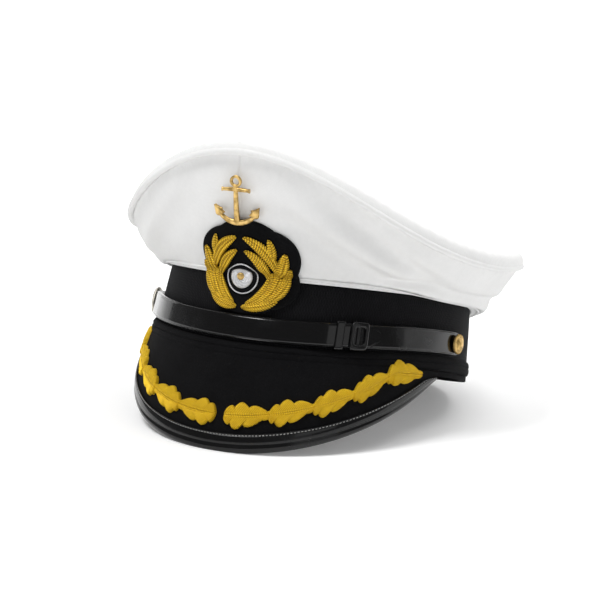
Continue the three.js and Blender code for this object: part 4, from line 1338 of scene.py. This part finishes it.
def anchor():
    top = ANCHOR_HIGH - 6
    sweep_angle = np.radians(np.linspace(-58, 58, 15))
    arms = [(10.6 * math.sin(a), 11.0 - 10.4 * math.cos(a)) for a in sweep_angle]
    arm_half = [0.55 + 0.75 * math.cos(a) ** 2 for a in sweep_angle]
    ring = [(2.1 * math.sin(a), ANCHOR_HIGH - 2.4 + 2.1 * math.cos(a))
            for a in np.linspace(0, 2 * math.pi, 25)]
    grids = [
        rod([(0, 1.2), (0, 6), (0, top), (0, ANCHOR_HIGH - 4.4)], [1.35, 1.15, 0.85, 0.8], high=2.3),
        rod([(x, top) for x in (-6.5, -5.8, 0, 5.8, 6.5)], [1.0, 0.7, 1.0, 0.7, 1.0], high=2.1),
        rod(arms, arm_half),
        rod(ring, [0.62] * 25, high=1.7),
    ]
    for side in (-1, 1):
        fluke = [(side * 6.3, 5.0), (side * 8.6, 5.6), (side * 10.7, 9.0)]
        grids.append(rod(fluke, [0.15, 2.3, 0.15], high=2.2))
    return sew("anchor", grids, [GILT], sharp=60)


anchor()

# %% [markdown]
# ## Room, light and camera
#
# The cap is shown on a plain pale sheet that curves up behind it, under a large soft light
# from the upper left and another from above, with a weak one on the other side. The sheet is
# stage, not object; it glows, dim grey near the cap, which paints a soft shadow round it, and
# white far away, so that the picture's ground stays white.

# %% The sheet it stands on
def stage_sheet():
    curve = np.linspace(0.05, math.pi / 2, 20)
    far = np.concatenate([np.linspace(-14, 2.0, 30), 2.0 + 0.9 * np.sin(curve), np.full(6, 2.9)])
    tall = np.concatenate([np.zeros(30), 0.9 * (1 - np.cos(curve)), np.linspace(1.0, 4.0, 6)])
    mesh = bpy.data.meshes.new("stage_sheet")
    points = [(x, y, z) for y, z in zip(far, tall) for x in (-14.0, 14.0)]
    mesh.from_pydata(points, [], [(2 * i, 2 * i + 1, 2 * i + 3, 2 * i + 2) for i in range(len(far) - 1)])
    mesh.shade_smooth()
    paper = Finish("stage_paper", base_color=(0.9, 0.9, 0.9, 1), roughness=0.9,
                   specular_ior_level=0.1, emission_strength=0.6)
    away = paper.node("ShaderNodeVectorMath", {"operation": "LENGTH"}, {0: paper.place}, output=1)
    # The glow is dim grey near the cap, a painted shadow round it, and white far away.
    paper.plug(paper.shader.inputs["Emission Color"],
               away.between(0.2, 1.2).tint((0.26, 0.26, 0.26), (1, 1, 1)))
    mesh.materials.append(paper.material)
    sheet = bpy.data.objects.new("stage_sheet", mesh)
    bpy.context.scene.collection.objects.link(sheet)


stage_sheet()


# %% Lights
def soft_light(name, place, aim, size, power, tall=None):
    lamp = bpy.data.lights.new(name, "AREA")
    lamp.shape, lamp.size, lamp.size_y, lamp.energy = "RECTANGLE", size, tall or size, power
    holder = bpy.data.objects.new(name, lamp)
    holder.location = place
    holder.rotation_euler = (Vector(aim) - Vector(place)).to_track_quat("-Z", "Y").to_euler()
    bpy.context.scene.collection.objects.link(holder)


middle = (cad_box[0] + cad_box[1]) / 2
soft_light("key_light", (-0.5, -0.8, 1.7), middle, 0.7, 25)
soft_light("fill_light", (1.3, -1.0, 0.7), middle, 0.8, 1.5)
soft_light("top_light", (0.5, 0.5, 1.7), middle, 1.0, 15)
room = bpy.data.worlds.new("room")
bpy.context.scene.world = room
room.use_nodes = True
room.node_tree.nodes["Background"].inputs["Color"].default_value = (1, 1, 1, 1)
room.node_tree.nodes["Background"].inputs["Strength"].default_value = 0.24
bpy.context.scene.view_settings.view_transform = "Standard"

# %% [markdown]
# The camera stands to the wearer's left of straight ahead, a little above the surface, and is
# turned slightly about its own line of sight. Its lens and aim put the cap in the middle of a
# square picture.

# %% Camera
def camera(azimuth, elevation, roll, distance, lens, aim, aside, below):
    a, e, r = (math.radians(angle) for angle in (azimuth, elevation, roll))
    back = Vector((math.sin(a) * math.cos(e), -math.cos(a) * math.cos(e), math.sin(e)))
    level = Vector((math.cos(a), math.sin(a), 0))
    upright = back.cross(level)
    right = level * math.cos(r) + upright * math.sin(r)
    up = upright * math.cos(r) - level * math.sin(r)
    place = Vector(aim) + back * distance
    look = (place - (Vector(aim) + right * aside + up * below)).normalized()
    side = up.cross(look).normalized()
    data = bpy.data.cameras.new("camera")
    data.lens, data.sensor_width = lens, 36
    holder = bpy.data.objects.new("camera", data)
    facing = Matrix((side, look.cross(side), look)).transposed().to_4x4()
    holder.matrix_world = Matrix.Translation(place) @ facing
    bpy.context.scene.collection.objects.link(holder)
    bpy.context.scene.camera = holder


camera(24.21, 9.74, 3.18, 0.8, 82.34, (0, 0, 0.0626), -0.0129, -0.00475)

# %% [markdown]
# ## Last checks
#
# The dressed cap must not be larger than the model it stands for. The last line writes down
# the model's box.

# %% Print the model's box
print("cad box in mm:", [[round(1000 * value, 1) for value in corner] for corner in cad_box])
